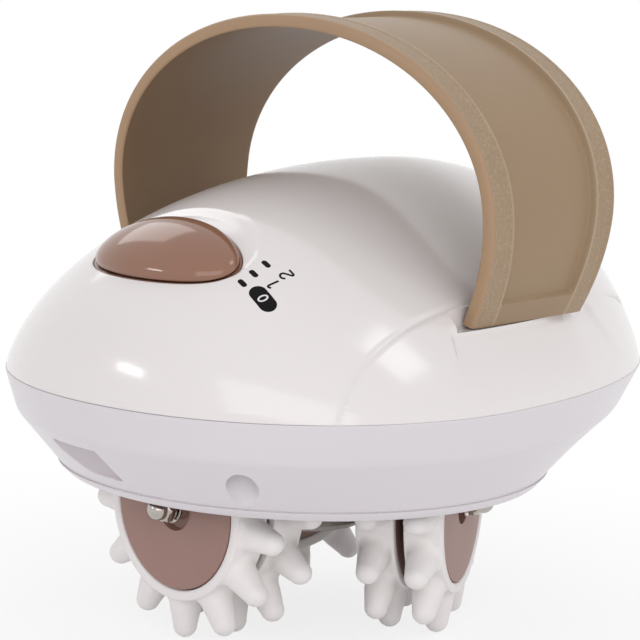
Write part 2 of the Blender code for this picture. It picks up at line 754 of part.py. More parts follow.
def make_case_screws():
    for number, place in enumerate(case_screw_places(), start=1):
        under_head = POCKET_TOP_Z - GAP
        make_screw(f"case_screw_{number}", CASE_SCREW_RADIUS, CASE_SCREW_HEAD_RADIUS, under_head,
                   under_head + CASE_SCREW_LENGTH, place)


def switch_axis():
    """Empty at the button's rest place, its Y axis along the slope that the button slides on."""
    rest = SWITCH_ORIGIN + SLOPE @ Vector((0, -SWITCH_TRAVEL / 2, 0))
    return empty("switch_axis", rest, SLOPE)


def make_switch():
    axis = switch_axis()
    make_switch_tray()
    make_switch_button(axis)
    top = -board_depth() + SWITCH_BODY_HEIGHT
    half_window = SWITCH_WINDOW_WIDTH / 2 - GAP
    actuator = box("switch_actuator", (-half_window, -STEM_HALF_LENGTH, top - ACTUATOR_HEIGHT / 2),
                   (half_window, STEM_HALF_LENGTH, top + ACTUATOR_HEIGHT / 2), black_plastic(), axis)
    half_window += GAP
    body = box("slide_switch", (-SWITCH_BODY_WIDTH / 2, -SWITCH_BODY_LENGTH / 2, top - SWITCH_BODY_HEIGHT + GAP),
               (SWITCH_BODY_WIDTH / 2, SWITCH_BODY_LENGTH / 2, top), zinc())
    run = SWITCH_TRAVEL / 2 + STEM_HALF_LENGTH + GAP
    window = box("switch_window", (-half_window, -run, top - ACTUATOR_HEIGHT / 2 - GAP),
                 (half_window, run, top + OVERRUN))
    placed(window, SWITCH_ORIGIN, SLOPE)
    cut(placed(body, SWITCH_ORIGIN, SLOPE), window)
    make_switch_board()
    return actuator


def make_switch_tray():
    """Mocha tray that lines the recess; its floor has the slot that the stem slides in."""
    bottom = -RECESS_DEPTH + GAP
    tray = slope_oval("switch_tray", GAP + TRAY_WALL, TRAY_TOP, bottom, mocha())
    inside = slope_oval("tray_inside", GAP, TRAY_TOP + OVERRUN, bottom + TRAY_FLOOR)
    return cut(tray, inside, stem_slot("tray_slot"))


def case_height(across, along):
    """Height of the case over the switch slope: it falls away from its peak as two parabolas."""
    along -= SWITCH_TRAVEL / 2 + CASE_PEAK_ALONG
    return CASE_RISE - across ** 2 / CASE_BOW_ACROSS - along ** 2 / CASE_BOW_ALONG


def button_ring(half_width, half_length, set_back, rise):
    """Oval ring of the button that follows the case at a rise above it."""
    ring = []
    for i in range(BUTTON_SIDES):
        angle = math.tau * i / BUTTON_SIDES
        across = half_width * math.cos(angle)
        along = set_back + half_length * math.sin(angle)
        ring.append(Vector((across, along, case_height(across, along) + GAP + rise)))
    return ring


def make_switch_button(axis):
    """Button with an oval neck in the tray, a crowned cap that reaches over the case, and a stem."""
    crown = [(0.30, 0.98), (0.58, 0.88), (0.80, 0.69), (0.94, 0.44), (1, 0)]
    bottom = -RECESS_DEPTH + GAP + TRAY_FLOOR + GAP
    neck = button_ring(BUTTON_HALF_WIDTH, BUTTON_HALF_LENGTH, 0, -GAP)
    base = [Vector((point.x, point.y, bottom)) for point in neck]
    rings = [button_ring(CAP_HALF_WIDTH * share, CAP_HALF_LENGTH * share, CAP_SET_BACK, rise * BUTTON_CROWN)
             for share, rise in reversed(crown)]
    tip = (0, CAP_SET_BACK, case_height(0, CAP_SET_BACK) + GAP + BUTTON_CROWN)
    button = loft("switch_knob", [base, neck] + rings, mocha(), tip=tip, parent=axis)
    stem_bottom = -RECESS_DEPTH - RECESS_WALL - STEM_LENGTH + BUTTON_SKIRT / 2 + ACTUATOR_HEIGHT / 2 + GAP
    stem = box("button_stem", (-STEM_HALF_WIDTH, -STEM_HALF_LENGTH, stem_bottom),
               (STEM_HALF_WIDTH, STEM_HALF_LENGTH, bottom + BUTTON_SKIRT / 2), parent=axis)
    return join(button, stem)


def make_switch_board():
    """Board behind the slide switch, hung on two posts of the top shell."""
    top = -board_depth()
    board = box("switch_board", (-BOARD_WIDTH / 2, -BOARD_LENGTH / 2, top - BOARD_THICKNESS),
                (BOARD_WIDTH / 2, BOARD_LENGTH / 2, top), board_green())
    placed(board, SWITCH_ORIGIN, SLOPE)
    for side, word in ((1, "right"), (-1, "left")):
        cut(board, board_post(f"board_hole_{word}", side, POST_RADIUS + GAP, top - BOARD_THICKNESS * 2))


def frame_box(name, x_low, x_high, y_low, y_high, z_low, z_high, finish=None):
    return box(name, (x_low, HUB_Y + y_low, z_low), (x_high, HUB_Y + y_high, z_high), finish)


def make_gearbox_frame():
    """Base plate, two walls and a bridge that carry the motor, the worm and the output shaft."""
    left = -FRAME_HALF_WIDTH
    right = DRIVE_DISTANCE + FRAME_HALF_WIDTH
    front = -FRAME_REACH - FRAME_WALL
    back = FRAME_REACH + FRAME_WALL
    base_top = FRAME_BOTTOM_Z + FRAME_PLATE
    bridge_top = BRIDGE_Z + FRAME_PLATE
    frame = frame_box("gearbox_frame", left, right, front, back, FRAME_BOTTOM_Z, base_top, nylon())
    sink = FRAME_PLATE / 2
    join(frame,
         frame_box("front_wall", left, right, front, -FRAME_REACH, FRAME_BOTTOM_Z + sink, bridge_top),
         frame_box("motor_wall", left, right, FRAME_REACH, back, FRAME_BOTTOM_Z + sink, bridge_top),
         frame_box("bridge", left, FRAME_HALF_WIDTH, front + sink, back - sink, BRIDGE_Z, bridge_top - sink / 2))
    bush_hole = SHAFT_RADIUS + GAP + BUSH_WALL + GAP
    upper = cylinder("upper_bush_hole", bush_hole, BRIDGE_Z - OVERRUN, bridge_top + OVERRUN, 20)
    lower = cylinder("lower_bush_room", bush_hole + BUSH_WALL + GAP, FRAME_BOTTOM_Z - OVERRUN, base_top + OVERRUN, 20)
    cut(frame, placed(upper, (0, HUB_Y, 0)), placed(lower, (0, HUB_Y, 0)))
    turn = Matrix.Rotation(-math.pi / 2, 3, "X")
    worm_line = (DRIVE_DISTANCE, HUB_Y, DRIVE_Z)
    boss = cylinder("motor_boss_hole", MOTOR_BOSS_RADIUS + GAP, FRAME_REACH - OVERRUN, back + OVERRUN, 16)
    end = cylinder("worm_bush_hole", MOTOR_BOSS_RADIUS + GAP, front - OVERRUN, -FRAME_REACH + OVERRUN, 16)
    cut(frame, placed(boss, worm_line, turn), placed(end, worm_line, turn))
    for number, place in enumerate(motor_screw_places(), start=1):
        hole = cylinder(f"motor_screw_hole_{number}", FRAME_SCREW_RADIUS + GAP, FRAME_REACH - OVERRUN,
                        back + OVERRUN, 10)
        cut(frame, placed(hole, place, turn))
    for number, place in enumerate(frame_screw_places(), start=1):
        hole = cylinder(f"frame_screw_hole_{number}", FRAME_SCREW_RADIUS + GAP, FRAME_BOTTOM_Z - OVERRUN,
                        base_top + OVERRUN, 10)
        cut(frame, placed(hole, place))
    return frame


def motor_screw_places():
    for side in (-1, 1):
        yield Vector((DRIVE_DISTANCE, HUB_Y, DRIVE_Z + side * MOTOR_SCREW_SPACING))


def frame_screw_places():
    yield Vector((DRIVE_DISTANCE, HUB_Y + FRAME_REACH / 2, 0))
    yield Vector((DRIVE_DISTANCE, HUB_Y - FRAME_REACH / 2, 0))


def make_frame_screws():
    turn = Matrix.Rotation(-math.pi / 2, 3, "X")
    for number, place in enumerate(motor_screw_places(), start=1):
        tip = FRAME_REACH + FRAME_WALL + GAP + MOTOR_BOSS_LENGTH
        make_screw(f"motor_screw_{number}", FRAME_SCREW_RADIUS, SCREW_HEAD_RADIUS, FRAME_REACH - GAP, tip, place, turn)
    over = Matrix.Rotation(math.pi, 3, "X")
    top = FRAME_BOTTOM_Z + FRAME_PLATE + GAP
    for number, place in enumerate(frame_screw_places(), start=1):
        screw = make_screw(f"frame_screw_{number}", FRAME_SCREW_RADIUS, SCREW_HEAD_RADIUS, 0,
                           FRAME_PLATE + WELL_ROOF, Vector((place.x, place.y, top)), over)
        hole = cylinder(f"roof_pilot_{number}", FRAME_SCREW_RADIUS + GAP, ROOF_TOP_Z - WELL_ROOF - OVERRUN,
                        ROOF_TOP_Z + OVERRUN, 10)
        cut(bpy.data.objects["lower_housing"], placed(hole, place))


def make_bushes():
    """Flanged sleeves for the output shaft: one in the well roof, one in the bridge."""
    inner = SHAFT_RADIUS + GAP
    outer = inner + BUSH_WALL
    flange = outer + BUSH_WALL
    low = FRAME_BOTTOM_Z
    lower = [(flange, low + BUSH_FLANGE), (flange, low), (outer, low),
             (outer, low - WELL_ROOF), (inner, low - WELL_ROOF), (inner, low + BUSH_FLANGE)]
    placed(turned("lower_bush", lower, 20, bronze()), (0, HUB_Y, 0))
    top = BRIDGE_Z + FRAME_PLATE + GAP
    upper = [(flange, top + BUSH_FLANGE), (flange, top), (outer, top),
             (outer, BRIDGE_Z), (inner, BRIDGE_Z), (inner, top + BUSH_FLANGE)]
    placed(turned("upper_bush", upper, 20, bronze()), (0, HUB_Y, 0))
    wall = FRAME_REACH + FRAME_WALL
    end_inner = MOTOR_SHAFT_RADIUS + GAP
    end = [(MOTOR_BOSS_RADIUS, wall), (MOTOR_BOSS_RADIUS, FRAME_REACH), (end_inner, FRAME_REACH), (end_inner, wall)]
    turn = Matrix.Rotation(math.pi / 2, 3, "X")
    placed(turned("worm_end_bush", end, 16, bronze()), (DRIVE_DISTANCE, HUB_Y, DRIVE_Z), turn)


def make_motor():
    """Small can motor behind the frame, its shaft running forward through the worm."""
    turn = Matrix.Rotation(-math.pi / 2, 3, "X")
    place = (DRIVE_DISTANCE, MOTOR_FRONT_Y, DRIVE_Z)
    hole = MOTOR_SHAFT_RADIUS + GAP
    profile = [(MOTOR_RADIUS, MOTOR_LENGTH), (MOTOR_RADIUS, 0), (MOTOR_BOSS_RADIUS, 0),
               (MOTOR_BOSS_RADIUS, -MOTOR_BOSS_LENGTH), (hole, -MOTOR_BOSS_LENGTH),
               (hole, MOTOR_LENGTH - MOTOR_CAP_LENGTH), (MOTOR_RADIUS / 2, MOTOR_LENGTH - MOTOR_CAP_LENGTH),
               (MOTOR_RADIUS / 2, MOTOR_LENGTH)]
    case = placed(turned("motor_case", profile, 24, zinc()), place, turn)
    for number in range(2):
        side = number * 2 - 1
        screw_hole = cylinder(f"motor_thread_{number + 1}", FRAME_SCREW_RADIUS + GAP, -OVERRUN, MOTOR_BOSS_LENGTH * 2, 10)
        offset = Vector((0, 0, side * MOTOR_SCREW_SPACING))
        cut(case, placed(screw_hole, Vector(place) + offset, turn))
    cap = placed(cylinder("motor_end_cap", MOTOR_RADIUS - GAP, MOTOR_LENGTH + GAP,
                          MOTOR_LENGTH + MOTOR_CAP_LENGTH, 24, black_plastic()), place, turn)
    for side, word in ((1, "right"), (-1, "left")):
        x = side * TERMINAL_OFFSET
        end = MOTOR_LENGTH + MOTOR_CAP_LENGTH
        tab = box(f"terminal_{word}", (x - TERMINAL_THICKNESS / 2, -TERMINAL_WIDTH / 2, end - TERMINAL_LENGTH),
                  (x + TERMINAL_THICKNESS / 2, TERMINAL_WIDTH / 2, end + TERMINAL_LENGTH))
        join(cap, placed(tab, place, turn))


def worm_axis():
    """Empty on the motor's axis at the output shaft's height of mesh, its Z axis along +Y."""
    return empty("worm_axis", (DRIVE_DISTANCE, HUB_Y, DRIVE_Z), Matrix.Rotation(-math.pi / 2, 3, "X"))


def make_worm_drive():
    axis = worm_axis()
    shaft_end = MOTOR_FRONT_Y - HUB_Y + MOTOR_LENGTH - MOTOR_CAP_LENGTH / 2
    cylinder("motor_shaft", MOTOR_SHAFT_RADIUS, -FRAME_REACH - FRAME_WALL, shaft_end, 10, zinc(), axis)
    rings = []
    steps = WORM_TURNS * WORM_STEPS
    for j in range(steps + 1):
        z = -WORM_LENGTH / 2 + WORM_LENGTH * j / steps
        ring = []
        for i in range(WORM_SIDES):
            angle = math.tau * i / WORM_SIDES
            phase = math.tau * z / TOOTH_PITCH - angle
            lift = (1 + math.cos(phase)) / 2
            radius = WORM_ROOT_RADIUS + WORM_THREAD_HEIGHT * lift
            ring.append(Vector((radius * math.cos(angle), radius * math.sin(angle), z)))
        rings.append(ring)
    worm = loft("worm", rings, bronze(), parent=axis)
    bore = cylinder("worm_bore", MOTOR_SHAFT_RADIUS + GAP, -WORM_LENGTH, WORM_LENGTH, 10, parent=axis)
    return cut(worm, bore)


def tooth_outline(z, twist):
    """Outline of the worm wheel at one height; each tooth narrows from root to tip."""
    points = []
    heights = ((WHEEL_ROOT_RADIUS, TOOTH_ROOT_WIDTH), (WHEEL_PITCH_RADIUS, TOOTH_PITCH_WIDTH),
               (WHEEL_TIP_RADIUS, TOOTH_TIP_WIDTH))
    for tooth in range(WHEEL_TEETH):
        middle = math.tau * tooth / WHEEL_TEETH + twist
        rising = [(radius, -width / 2) for radius, width in heights]
        falling = [(radius, width / 2) for radius, width in reversed(heights)]
        for radius, across in rising + falling:
            angle = middle + across / radius
            points.append(Vector((radius * math.cos(angle), radius * math.sin(angle), z)))
    return points


def carrier_axis():
    return empty("carrier_axis", (0, HUB_Y, 0))


def make_worm_wheel(axis):
    """Helical wheel whose teeth lean with the worm's thread."""
    lean = TOOTH_PITCH / (math.tau * WORM_PITCH_RADIUS)
    half = WHEEL_FACE / 2
    twist = lean * half / WHEEL_PITCH_RADIUS
    wheel = loft("worm_wheel", [tooth_outline(DRIVE_Z - half, -twist), tooth_outline(DRIVE_Z + half, twist)],
                 nylon(), parent=axis)
    hub = cylinder("wheel_hub", WHEEL_HUB_RADIUS, DRIVE_Z - WHEEL_HUB_LENGTH / 2,
                   DRIVE_Z + WHEEL_HUB_LENGTH / 2, 20, parent=axis)
    bore = cylinder("wheel_bore", SHAFT_RADIUS + GAP, DRIVE_Z - WHEEL_HUB_LENGTH,
                    DRIVE_Z + WHEEL_HUB_LENGTH, 20, parent=axis)
    join(wheel, hub)
    return cut(wheel, bore)


def make_output_shaft(axis):
    """Steel shaft from the carrier's web up through both bushes, threaded for the carrier screw."""
    top = BRIDGE_Z + FRAME_PLATE + BUSH_FLANGE + OVERRUN
    shaft = cylinder("output_shaft", SHAFT_RADIUS, WEB_TOP_Z + GAP, top, 20, zinc(), axis)
    thread = cylinder("shaft_thread", AXLE_RADIUS + GAP, WEB_TOP_Z - OVERRUN, WEB_TOP_Z + CASE_SCREW_LENGTH / 2, 10,
                      parent=axis)
    return cut(shaft, thread)


def make_carrier(axis):
    """Hub on the output shaft that holds the three roller axles."""
    edge = CARRIER_EDGE
    profile = [(0, CARRIER_TOP_Z), (CARRIER_RADIUS - edge, CARRIER_TOP_Z), (CARRIER_RADIUS, CARRIER_TOP_Z - edge),
               (CARRIER_RADIUS, CARRIER_BOTTOM_Z + edge), (CARRIER_RADIUS - edge, CARRIER_BOTTOM_Z),
               (0, CARRIER_BOTTOM_Z)]
    carrier = turned("roller_carrier", profile, 32, housing_white(), axis)
    socket = cylinder("cap_screw_room", SOCKET_RADIUS, CARRIER_BOTTOM_Z - OVERRUN, WEB_BOTTOM_Z, 22, parent=axis)
    seat = cylinder("cap_seat", CAP_RADIUS + GAP, CARRIER_BOTTOM_Z - OVERRUN,
                    CARRIER_BOTTOM_Z + CAP_THICKNESS + GAP, 24, parent=axis)
    shaft = cylinder("carrier_bore", SHAFT_RADIUS + GAP, WEB_TOP_Z, CARRIER_TOP_Z + OVERRUN, 20, parent=axis)
    screw = cylinder("carrier_screw_hole", AXLE_RADIUS + GAP, WEB_BOTTOM_Z - OVERRUN, WEB_TOP_Z + OVERRUN, 10,
                     parent=axis)
    cut(carrier, socket, seat, shaft, screw)
    for number, turn in enumerate(roller_turns(), start=1):
        hole = cylinder(f"axle_hole_{number}", AXLE_RADIUS + GAP, SOCKET_RADIUS / 2, CARRIER_RADIUS + OVERRUN, 12,
                        parent=axis)
        cut(carrier, placed(hole, (0, 0, AXLE_Z), turn))
    cylinder("carrier_cap", CAP_RADIUS, CARRIER_BOTTOM_Z, CARRIER_BOTTOM_Z + CAP_THICKNESS, 24, mocha(), axis)
    make_screw("carrier_screw", AXLE_RADIUS, SCREW_HEAD_RADIUS, WEB_BOTTOM_Z - GAP,
               WEB_TOP_Z + CASE_SCREW_LENGTH / 2 - GAP, (0, 0, 0), parent=axis)
    return carrier


def roller_turns():
    """Rotations that lay the local Z axis along each axle, pointing out from the hub, X down."""
    for number in range(ROLLER_COUNT):
        angle = CARRIER_ANGLE + math.tau * number / ROLLER_COUNT
        yield Matrix.Rotation(angle, 3, "Z") @ Matrix.Rotation(math.pi / 2, 3, "Y")


def make_ring(name, middle, turn_share, axis):
    """Soft ring with a row of round-ended knobs, pushed over a core."""
    low = middle - RING_WIDTH / 2
    high = middle + RING_WIDTH / 2
    inner = CORE_RADIUS + GAP
    profile = [(RING_RADIUS, high), (RING_RADIUS, low), (inner, low), (inner, high)]
    ring = turned(name, profile, CORE_SIDES, knob_white(), axis)
    bm = bmesh.new()
    for k in range(KNOBS_PER_RING):
        angle = math.tau * (k + turn_share) / KNOBS_PER_RING
        place = Matrix.Translation((0, 0, middle)) @ Matrix.Rotation(angle, 4, "Z")
        add_knob(bm, place @ Matrix.Rotation(math.pi / 2, 4, "Y"))
    knobs = add_object(name + "_knobs", mesh_from_bmesh(name + "_knobs", bm), None, axis)
    return join(ring, knobs)


def add_knob(bm, place):
    """A tapered peg along the local Z axis with a rounded end, rooted inside the ring's wall."""
    root = CORE_RADIUS + GAP + RING_WALL / 2
    shoulder = KNOB_REACH - KNOB_TIP_RADIUS
    levels = [(KNOB_BASE_RADIUS, root), (KNOB_TIP_RADIUS, shoulder),
              (KNOB_TIP_RADIUS * math.sin(math.pi / 4), shoulder + KNOB_TIP_RADIUS * math.cos(math.pi / 4))]
    rows = []
    for radius, height in levels:
        row = []
        for i in range(KNOB_SIDES):
            angle = math.tau * i / KNOB_SIDES
            row.append(bm.verts.new(place @ Vector((radius * math.cos(angle), radius * math.sin(angle), height))))
        rows.append(row)
    for lower, upper in zip(rows, rows[1:]):
        for i in range(KNOB_SIDES):
            j = (i + 1) % KNOB_SIDES
            bm.faces.new((lower[i], lower[j], upper[j], upper[i]))
    bm.faces.new(reversed(rows[0]))
    tip = bm.verts.new(place @ Vector((0, 0, KNOB_REACH)))
    for i in range(KNOB_SIDES):
        bm.faces.new((rows[-1][i], rows[-1][(i + 1) % KNOB_SIDES], tip))


def make_roller(number, turn, carrier):
    """One roller and its axle: two cores that each wear a soft ring, with a spacer between."""
    axis = empty(f"roller_{number}_axis", (0, 0, AXLE_Z), turn, carrier)
    shares = RING_TURN_SHARES[number - 1]
    bore = AXLE_RADIUS + GAP
    middles = [RING_MIDDLE - k * RING_SPACING for k in range(RING_COUNT)]
    for word, middle, share in zip(("outer", "inner"), middles, shares):
        low = middle - RING_WIDTH / 2
        high = middle + RING_WIDTH / 2
        profile = [(CORE_RADIUS, high), (CORE_RADIUS, low), (bore, low), (bore, high)]
        turned(f"{word}_core_{number}", profile, CORE_SIDES, mocha(), axis)
        make_ring(f"{word}_ring_{number}", middle, share, axis)
    low = middles[1] + RING_WIDTH / 2 + GAP
    high = middles[0] - RING_WIDTH / 2 - GAP
    turned(f"core_spacer_{number}", [(SPACER_RADIUS, high), (SPACER_RADIUS, low), (bore, low), (bore, high)],
           16, mocha(), axis)
    make_axle(number, empty(f"axle_{number}_seat", (0, 0, AXLE_Z), turn, carrier))


def make_axle(number, axis):
    """Fixed axle of one roller with the washer and nut that keep the roller on it."""
    bore = AXLE_RADIUS + GAP
    seat = ROLLER_FACE_RADIUS + GAP
    washer_top = seat + WASHER_THICKNESS
    turned(f"axle_washer_{number}", [(WASHER_RADIUS, washer_top), (WASHER_RADIUS, seat), (bore, seat),
                                     (bore, washer_top)], 12, steel(), axis)
    make_nut(number, washer_top + GAP, axis)
    cylinder(f"axle_{number}", AXLE_RADIUS, SOCKET_RADIUS + GAP, washer_top + GAP + AXLE_TIP_LENGTH, 12, steel(),
             axis)


def make_nut(number, seat, axis):
    """Domed nut: a hexagon under a round cap, bored for the axle's thread."""
    corner = NUT_FLATS / math.sqrt(3)
    nut = cylinder(f"acorn_nut_{number}", corner, seat, seat + NUT_HEIGHT, 6, steel(), axis)
    shoulder = seat + NUT_HEIGHT
    wall_top = shoulder + NUT_DOME_RADIUS / 4
    profile = [(0, wall_top + NUT_DOME_RADIUS)]
    for k in (2, 1, 0):
        angle = math.pi / 2 * k / 3
        profile.append((NUT_DOME_RADIUS * math.cos(angle), wall_top + NUT_DOME_RADIUS * math.sin(angle)))
    profile += [(NUT_DOME_RADIUS, shoulder - NUT_HEIGHT / 4), (0, shoulder - NUT_HEIGHT / 4)]
    cap = turned(f"nut_cap_{number}", profile, 12, parent=axis)
    bore = cylinder(f"nut_bore_{number}", AXLE_RADIUS + GAP, seat - OVERRUN, seat + AXLE_TIP_LENGTH + GAP, 10,
                    parent=axis)
    join(nut, cap)
    return cut(nut, bore)


def lead(name, points, finish):
    """An insulated wire through hand-placed points, smoothed and made a tube."""
    data = bpy.data.curves.new(name, "CURVE")
    data.dimensions = "3D"
    data.bevel_depth = LEAD_RADIUS
    data.bevel_resolution = 1
    data.use_fill_caps = True
    path = smooth_route([Vector(point) for point in points])
    spline = data.splines.new("POLY")
    spline.points.add(len(path) - 1)
    for target, point in zip(spline.points, path):
        target.co = (*point, 1)
    item = bpy.data.objects.new(name, data)
    PARTS.objects.link(item)
    bpy.context.view_layer.update()
    mesh = bpy.data.meshes.new_from_object(item.evaluated_get(bpy.context.evaluated_depsgraph_get()))
    bpy.data.objects.remove(item, do_unlink=True)
    bm = bmesh.new()
    bm.from_mesh(mesh)
    bmesh.ops.remove_doubles(bm, verts=bm.verts, dist=LEAD_RADIUS / 100)
    bmesh.ops.recalc_face_normals(bm, faces=bm.faces)
    bm.to_mesh(mesh)
    bm.free()
    mesh.materials.clear()
    return smooth(add_object(name, mesh, finish))


def smooth_route(points):
    """Catmull-Rom curve through the points, read at even steps."""
    ends = [points[0] * 2 - points[1]] + points + [points[-1] * 2 - points[-2]]
    spans = len(points) - 1
    route = []
    for step in range(LEAD_STEPS + 1):
        place = spans * step / LEAD_STEPS
        span = min(int(place), spans - 1)
        t = place - span
        a, b, c, d = ends[span:span + 4]
        route.append((b * 2 + (c - a) * t + (a * 2 - b * 5 + c * 4 - d) * t ** 2
                      + (b * 3 - a - c * 3 + d) * t ** 3) / 2)
    return route


def make_leads():
    """Socket to switch board, and board to motor, laid round the gearbox."""
    board_foot = SWITCH_ORIGIN + SLOPE @ Vector((0, 0, -board_depth() - BOARD_THICKNESS - GAP))
    down = SLOPE @ Vector((0, 0, -LEAD_CLEARANCE))
    side = Vector((SOCKET_X, 0, 0))
    start = board_foot + side / 2
    up = Vector((0, 0, LEAD_CLEARANCE))
    jack_top = Vector((SOCKET_X, SOCKET_FACE_Y + JACK_LENGTH / 2, JACK_Z + JACK_HALF_HEIGHT + GAP))
    well_edge = Vector((SOCKET_X, jack_top.y, ROOF_TOP_Z))
    lead("socket_lead", [jack_top, jack_top + up, well_edge, start + down * 2, start + down, start], lead_red())
    terminal = Vector((DRIVE_DISTANCE - TERMINAL_OFFSET, MOTOR_FRONT_Y + MOTOR_LENGTH + MOTOR_CAP_LENGTH
                       + TERMINAL_LENGTH + GAP, DRIVE_Z))
    away = Vector((0, LEAD_CLEARANCE, 0))
    left = -FRAME_HALF_WIDTH - LEAD_CLEARANCE
    low = ROOF_TOP_Z + LEAD_CLEARANCE
    end = board_foot - side / 2 + down / 4
    lead("motor_lead",
         [terminal, terminal + away, Vector((0, terminal.y, low)), Vector((left, HUB_Y + FRAME_REACH * 2, low)),
          Vector((left, HUB_Y, low)), Vector((left, HUB_Y - FRAME_REACH - FRAME_WALL * 2, low)),
          end + down, end], black_plastic())


def build():
    make_top_shell()
    make_lower_housing()
    make_power_socket()
    make_strap()
    make_strap_clamps()
    make_case_screws()
    make_switch()
    make_gearbox_frame()
    make_frame_screws()
    make_bushes()
    make_motor()
    make_worm_drive()
    axis = carrier_axis()
    make_worm_wheel(axis)
    make_output_shaft(axis)
    make_carrier(axis)
    for number, turn in enumerate(roller_turns(), start=1):
        make_roller(number, turn, axis)
    make_leads()
    bpy.context.view_layer.update()


build()
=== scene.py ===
"""Looks of the roller massager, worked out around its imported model.

Metres, +Z up, the nose points to -Y and the hand strap arches from side to side.
Every new piece is a surface worked out with numpy on a grid of rows and columns.
"""
import math

import bmesh
import bpy
import numpy as np
from mathutils import Matrix, Vector


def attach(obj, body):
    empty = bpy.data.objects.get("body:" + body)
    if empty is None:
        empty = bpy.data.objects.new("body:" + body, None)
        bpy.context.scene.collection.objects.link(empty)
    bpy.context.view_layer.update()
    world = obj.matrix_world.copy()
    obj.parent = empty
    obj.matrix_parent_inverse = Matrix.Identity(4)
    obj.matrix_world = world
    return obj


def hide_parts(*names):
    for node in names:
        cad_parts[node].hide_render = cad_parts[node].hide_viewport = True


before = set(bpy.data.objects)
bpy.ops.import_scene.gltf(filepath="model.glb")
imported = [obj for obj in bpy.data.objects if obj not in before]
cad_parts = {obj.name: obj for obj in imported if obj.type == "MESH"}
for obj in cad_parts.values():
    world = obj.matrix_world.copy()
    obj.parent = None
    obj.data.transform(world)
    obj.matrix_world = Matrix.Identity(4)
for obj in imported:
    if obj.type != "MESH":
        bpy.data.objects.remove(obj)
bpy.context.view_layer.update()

# Case
FRONT_REACH = 0.0642
BACK_REACH = 0.0975
HALF_WIDTH = 0.0618
WIDEST_Y = (FRONT_REACH - BACK_REACH) / 2
HUB_Y = WIDEST_Y + 0.0032
SEAM_Z = 0.0565
DOME_TOP_Z = 0.1017
DOME_PEAK_SHIFT = 0.0263
OUTLINE_POWER = 2.07
CASE_WALL = 0.0024
DOME_COLUMNS = 448
DOME_ROWS = 168
SHARP_EDGE = math.radians(38)

# Reliefs of the case
GROOVE_X = 0.0466
GROOVE_DEPTH = 0.00034
GROOVE_SPREAD = 0.00042
PANEL_DEPTH = 0.00085
PANEL_HALF_LENGTH = 0.0272
PANEL_SPLAY = 0.44
PANEL_TOP_Z = 0.0727
DISH_DEPTH = 0.0005
DISH_HALF_WIDTH = 0.0203
DISH_LENGTH = 0.0120
DISH_START_Y = -0.0570
DISH_POWER = 2.6
DRAFT_DEPTH = 0.00022
DRAFT_HEIGHT = 0.0019

# Lower housing
CREASE_Z = 0.0477
CREASE_SHARE = 0.82
LIP_SHARE = 0.135
RIM_Z = 0.0338
RIM_RADIUS = 0.0524837
WELL_RADIUS = 0.0484837
WELL_CEILING_Z = 0.0610
ROOF_TOP_Z = 0.0635
BUSH_HOLE = 0.0058
HOUSING_COLUMNS = 580

# Where the housing's columns crowd together, by degrees round the hub, half spread and gain
CROWDED = ((-99.5, 11.0, 7.0), (-60.8, 6.0, 7.0), (180, 6.0, 4.0), (75, 6.0, 4.0))

# Screw pockets, each by its degrees round the hub and its distance from it
POCKETS = ((-60.8, 0.0586), (180.0, 0.0556), (75.0, 0.0680))
POCKET_RADIUS = 0.0032
POCKET_TOP_Z = 0.0485

# Notch of the nose
NOTCH_LEFT_X = -0.0178
NOTCH_RIGHT_X = -0.0027
NOTCH_MIDDLE_X = -0.0096
NOTCH_SLANT = 0.42
NOTCH_FACE_Y = HUB_Y - 0.0574
NOTCH_FACE_Z = 0.0419
NOTCH_LEAN = 0.50
NOTCH_CEILING_Z = 0.0452
NOTCH_FLOOR_Z = 0.0382
SOCKET_Z = 0.0428

# Switch slope
SWITCH_CENTRE = Vector((0, WIDEST_Y - 0.0422, 0.0869))
SWITCH_TILT = math.radians(28.2)
SWITCH_TRAVEL = 0.0041
SWITCH_REST = -SWITCH_TRAVEL / 2
NECK_HALF_WIDTH = 0.0160
NECK_HALF_LENGTH = 0.0054
CAP_HALF_WIDTH = 0.0189
CAP_SIDE = -0.0001
CAP_HALF_LENGTH = 0.0098
CAP_MIDDLE = -0.0009
CAP_RISE = 0.0038
CAP_GAP = 0.00012
RECESS_HALF_WIDTH = 0.0196
RECESS_HALF_LENGTH = 0.0103
RECESS_MIDDLE = -0.0008
RECESS_SIDE = -0.0005
RECESS_DEPTH = 0.0050
RECESS_LIP = 0.0005
TUB_MARGIN = 0.0018
TUB_DEPTH = 0.0068
TRAY_BOTTOM = -RECESS_DEPTH + 0.0003
TRAY_FLOOR = TRAY_BOTTOM + 0.0008

# Printed marks, the figures each by its number, height, line width and place
PRINT_TILT = math.radians(-4)
PRINT_LIFT = 0.00004
PRINT_DEPTH = -0.0002
DASH_SIZE = (0.00120, 0.00060)
DASH_PLACES = ((0.0220, -0.0593), (0.0222, -0.0562), (0.0224, -0.0527))
PILL_SIZE = (0.0036, 0.0019)
PILL_PLACE = (0.0272, -0.0587)
FIGURE_LIFT = 0.00007
FIGURES = ((0, 0.0021, 0.00036, PILL_PLACE), (1, 0.0028, 0.00046, (0.0266, -0.0550)),
           (2, 0.0028, 0.00046, (0.0269, -0.0515)))

# Rollers
AXLE_Z = 0.0296
CARRIER_ANGLE = math.radians(-95.5)
KNOBS = 13
KNOB_REACH = 0.0296
KNOB_TIP = 0.00262
KNOB_BASE = 0.0034
KNOB_FILLET = 0.0026
RING_RADIUS = 0.0205
RING_BORE = 0.0183
RING_WIDTH = 0.0086
RING_EDGE = 0.00045
RING_SPACING = 0.0107
RING_TURNS = ((0.0, 0.32), (-0.29, -0.29), (-0.45, -0.45))
ROLLER_FACE = 0.0376
CORE_RADIUS = 0.0180
AXLE_BORE = 0.0018

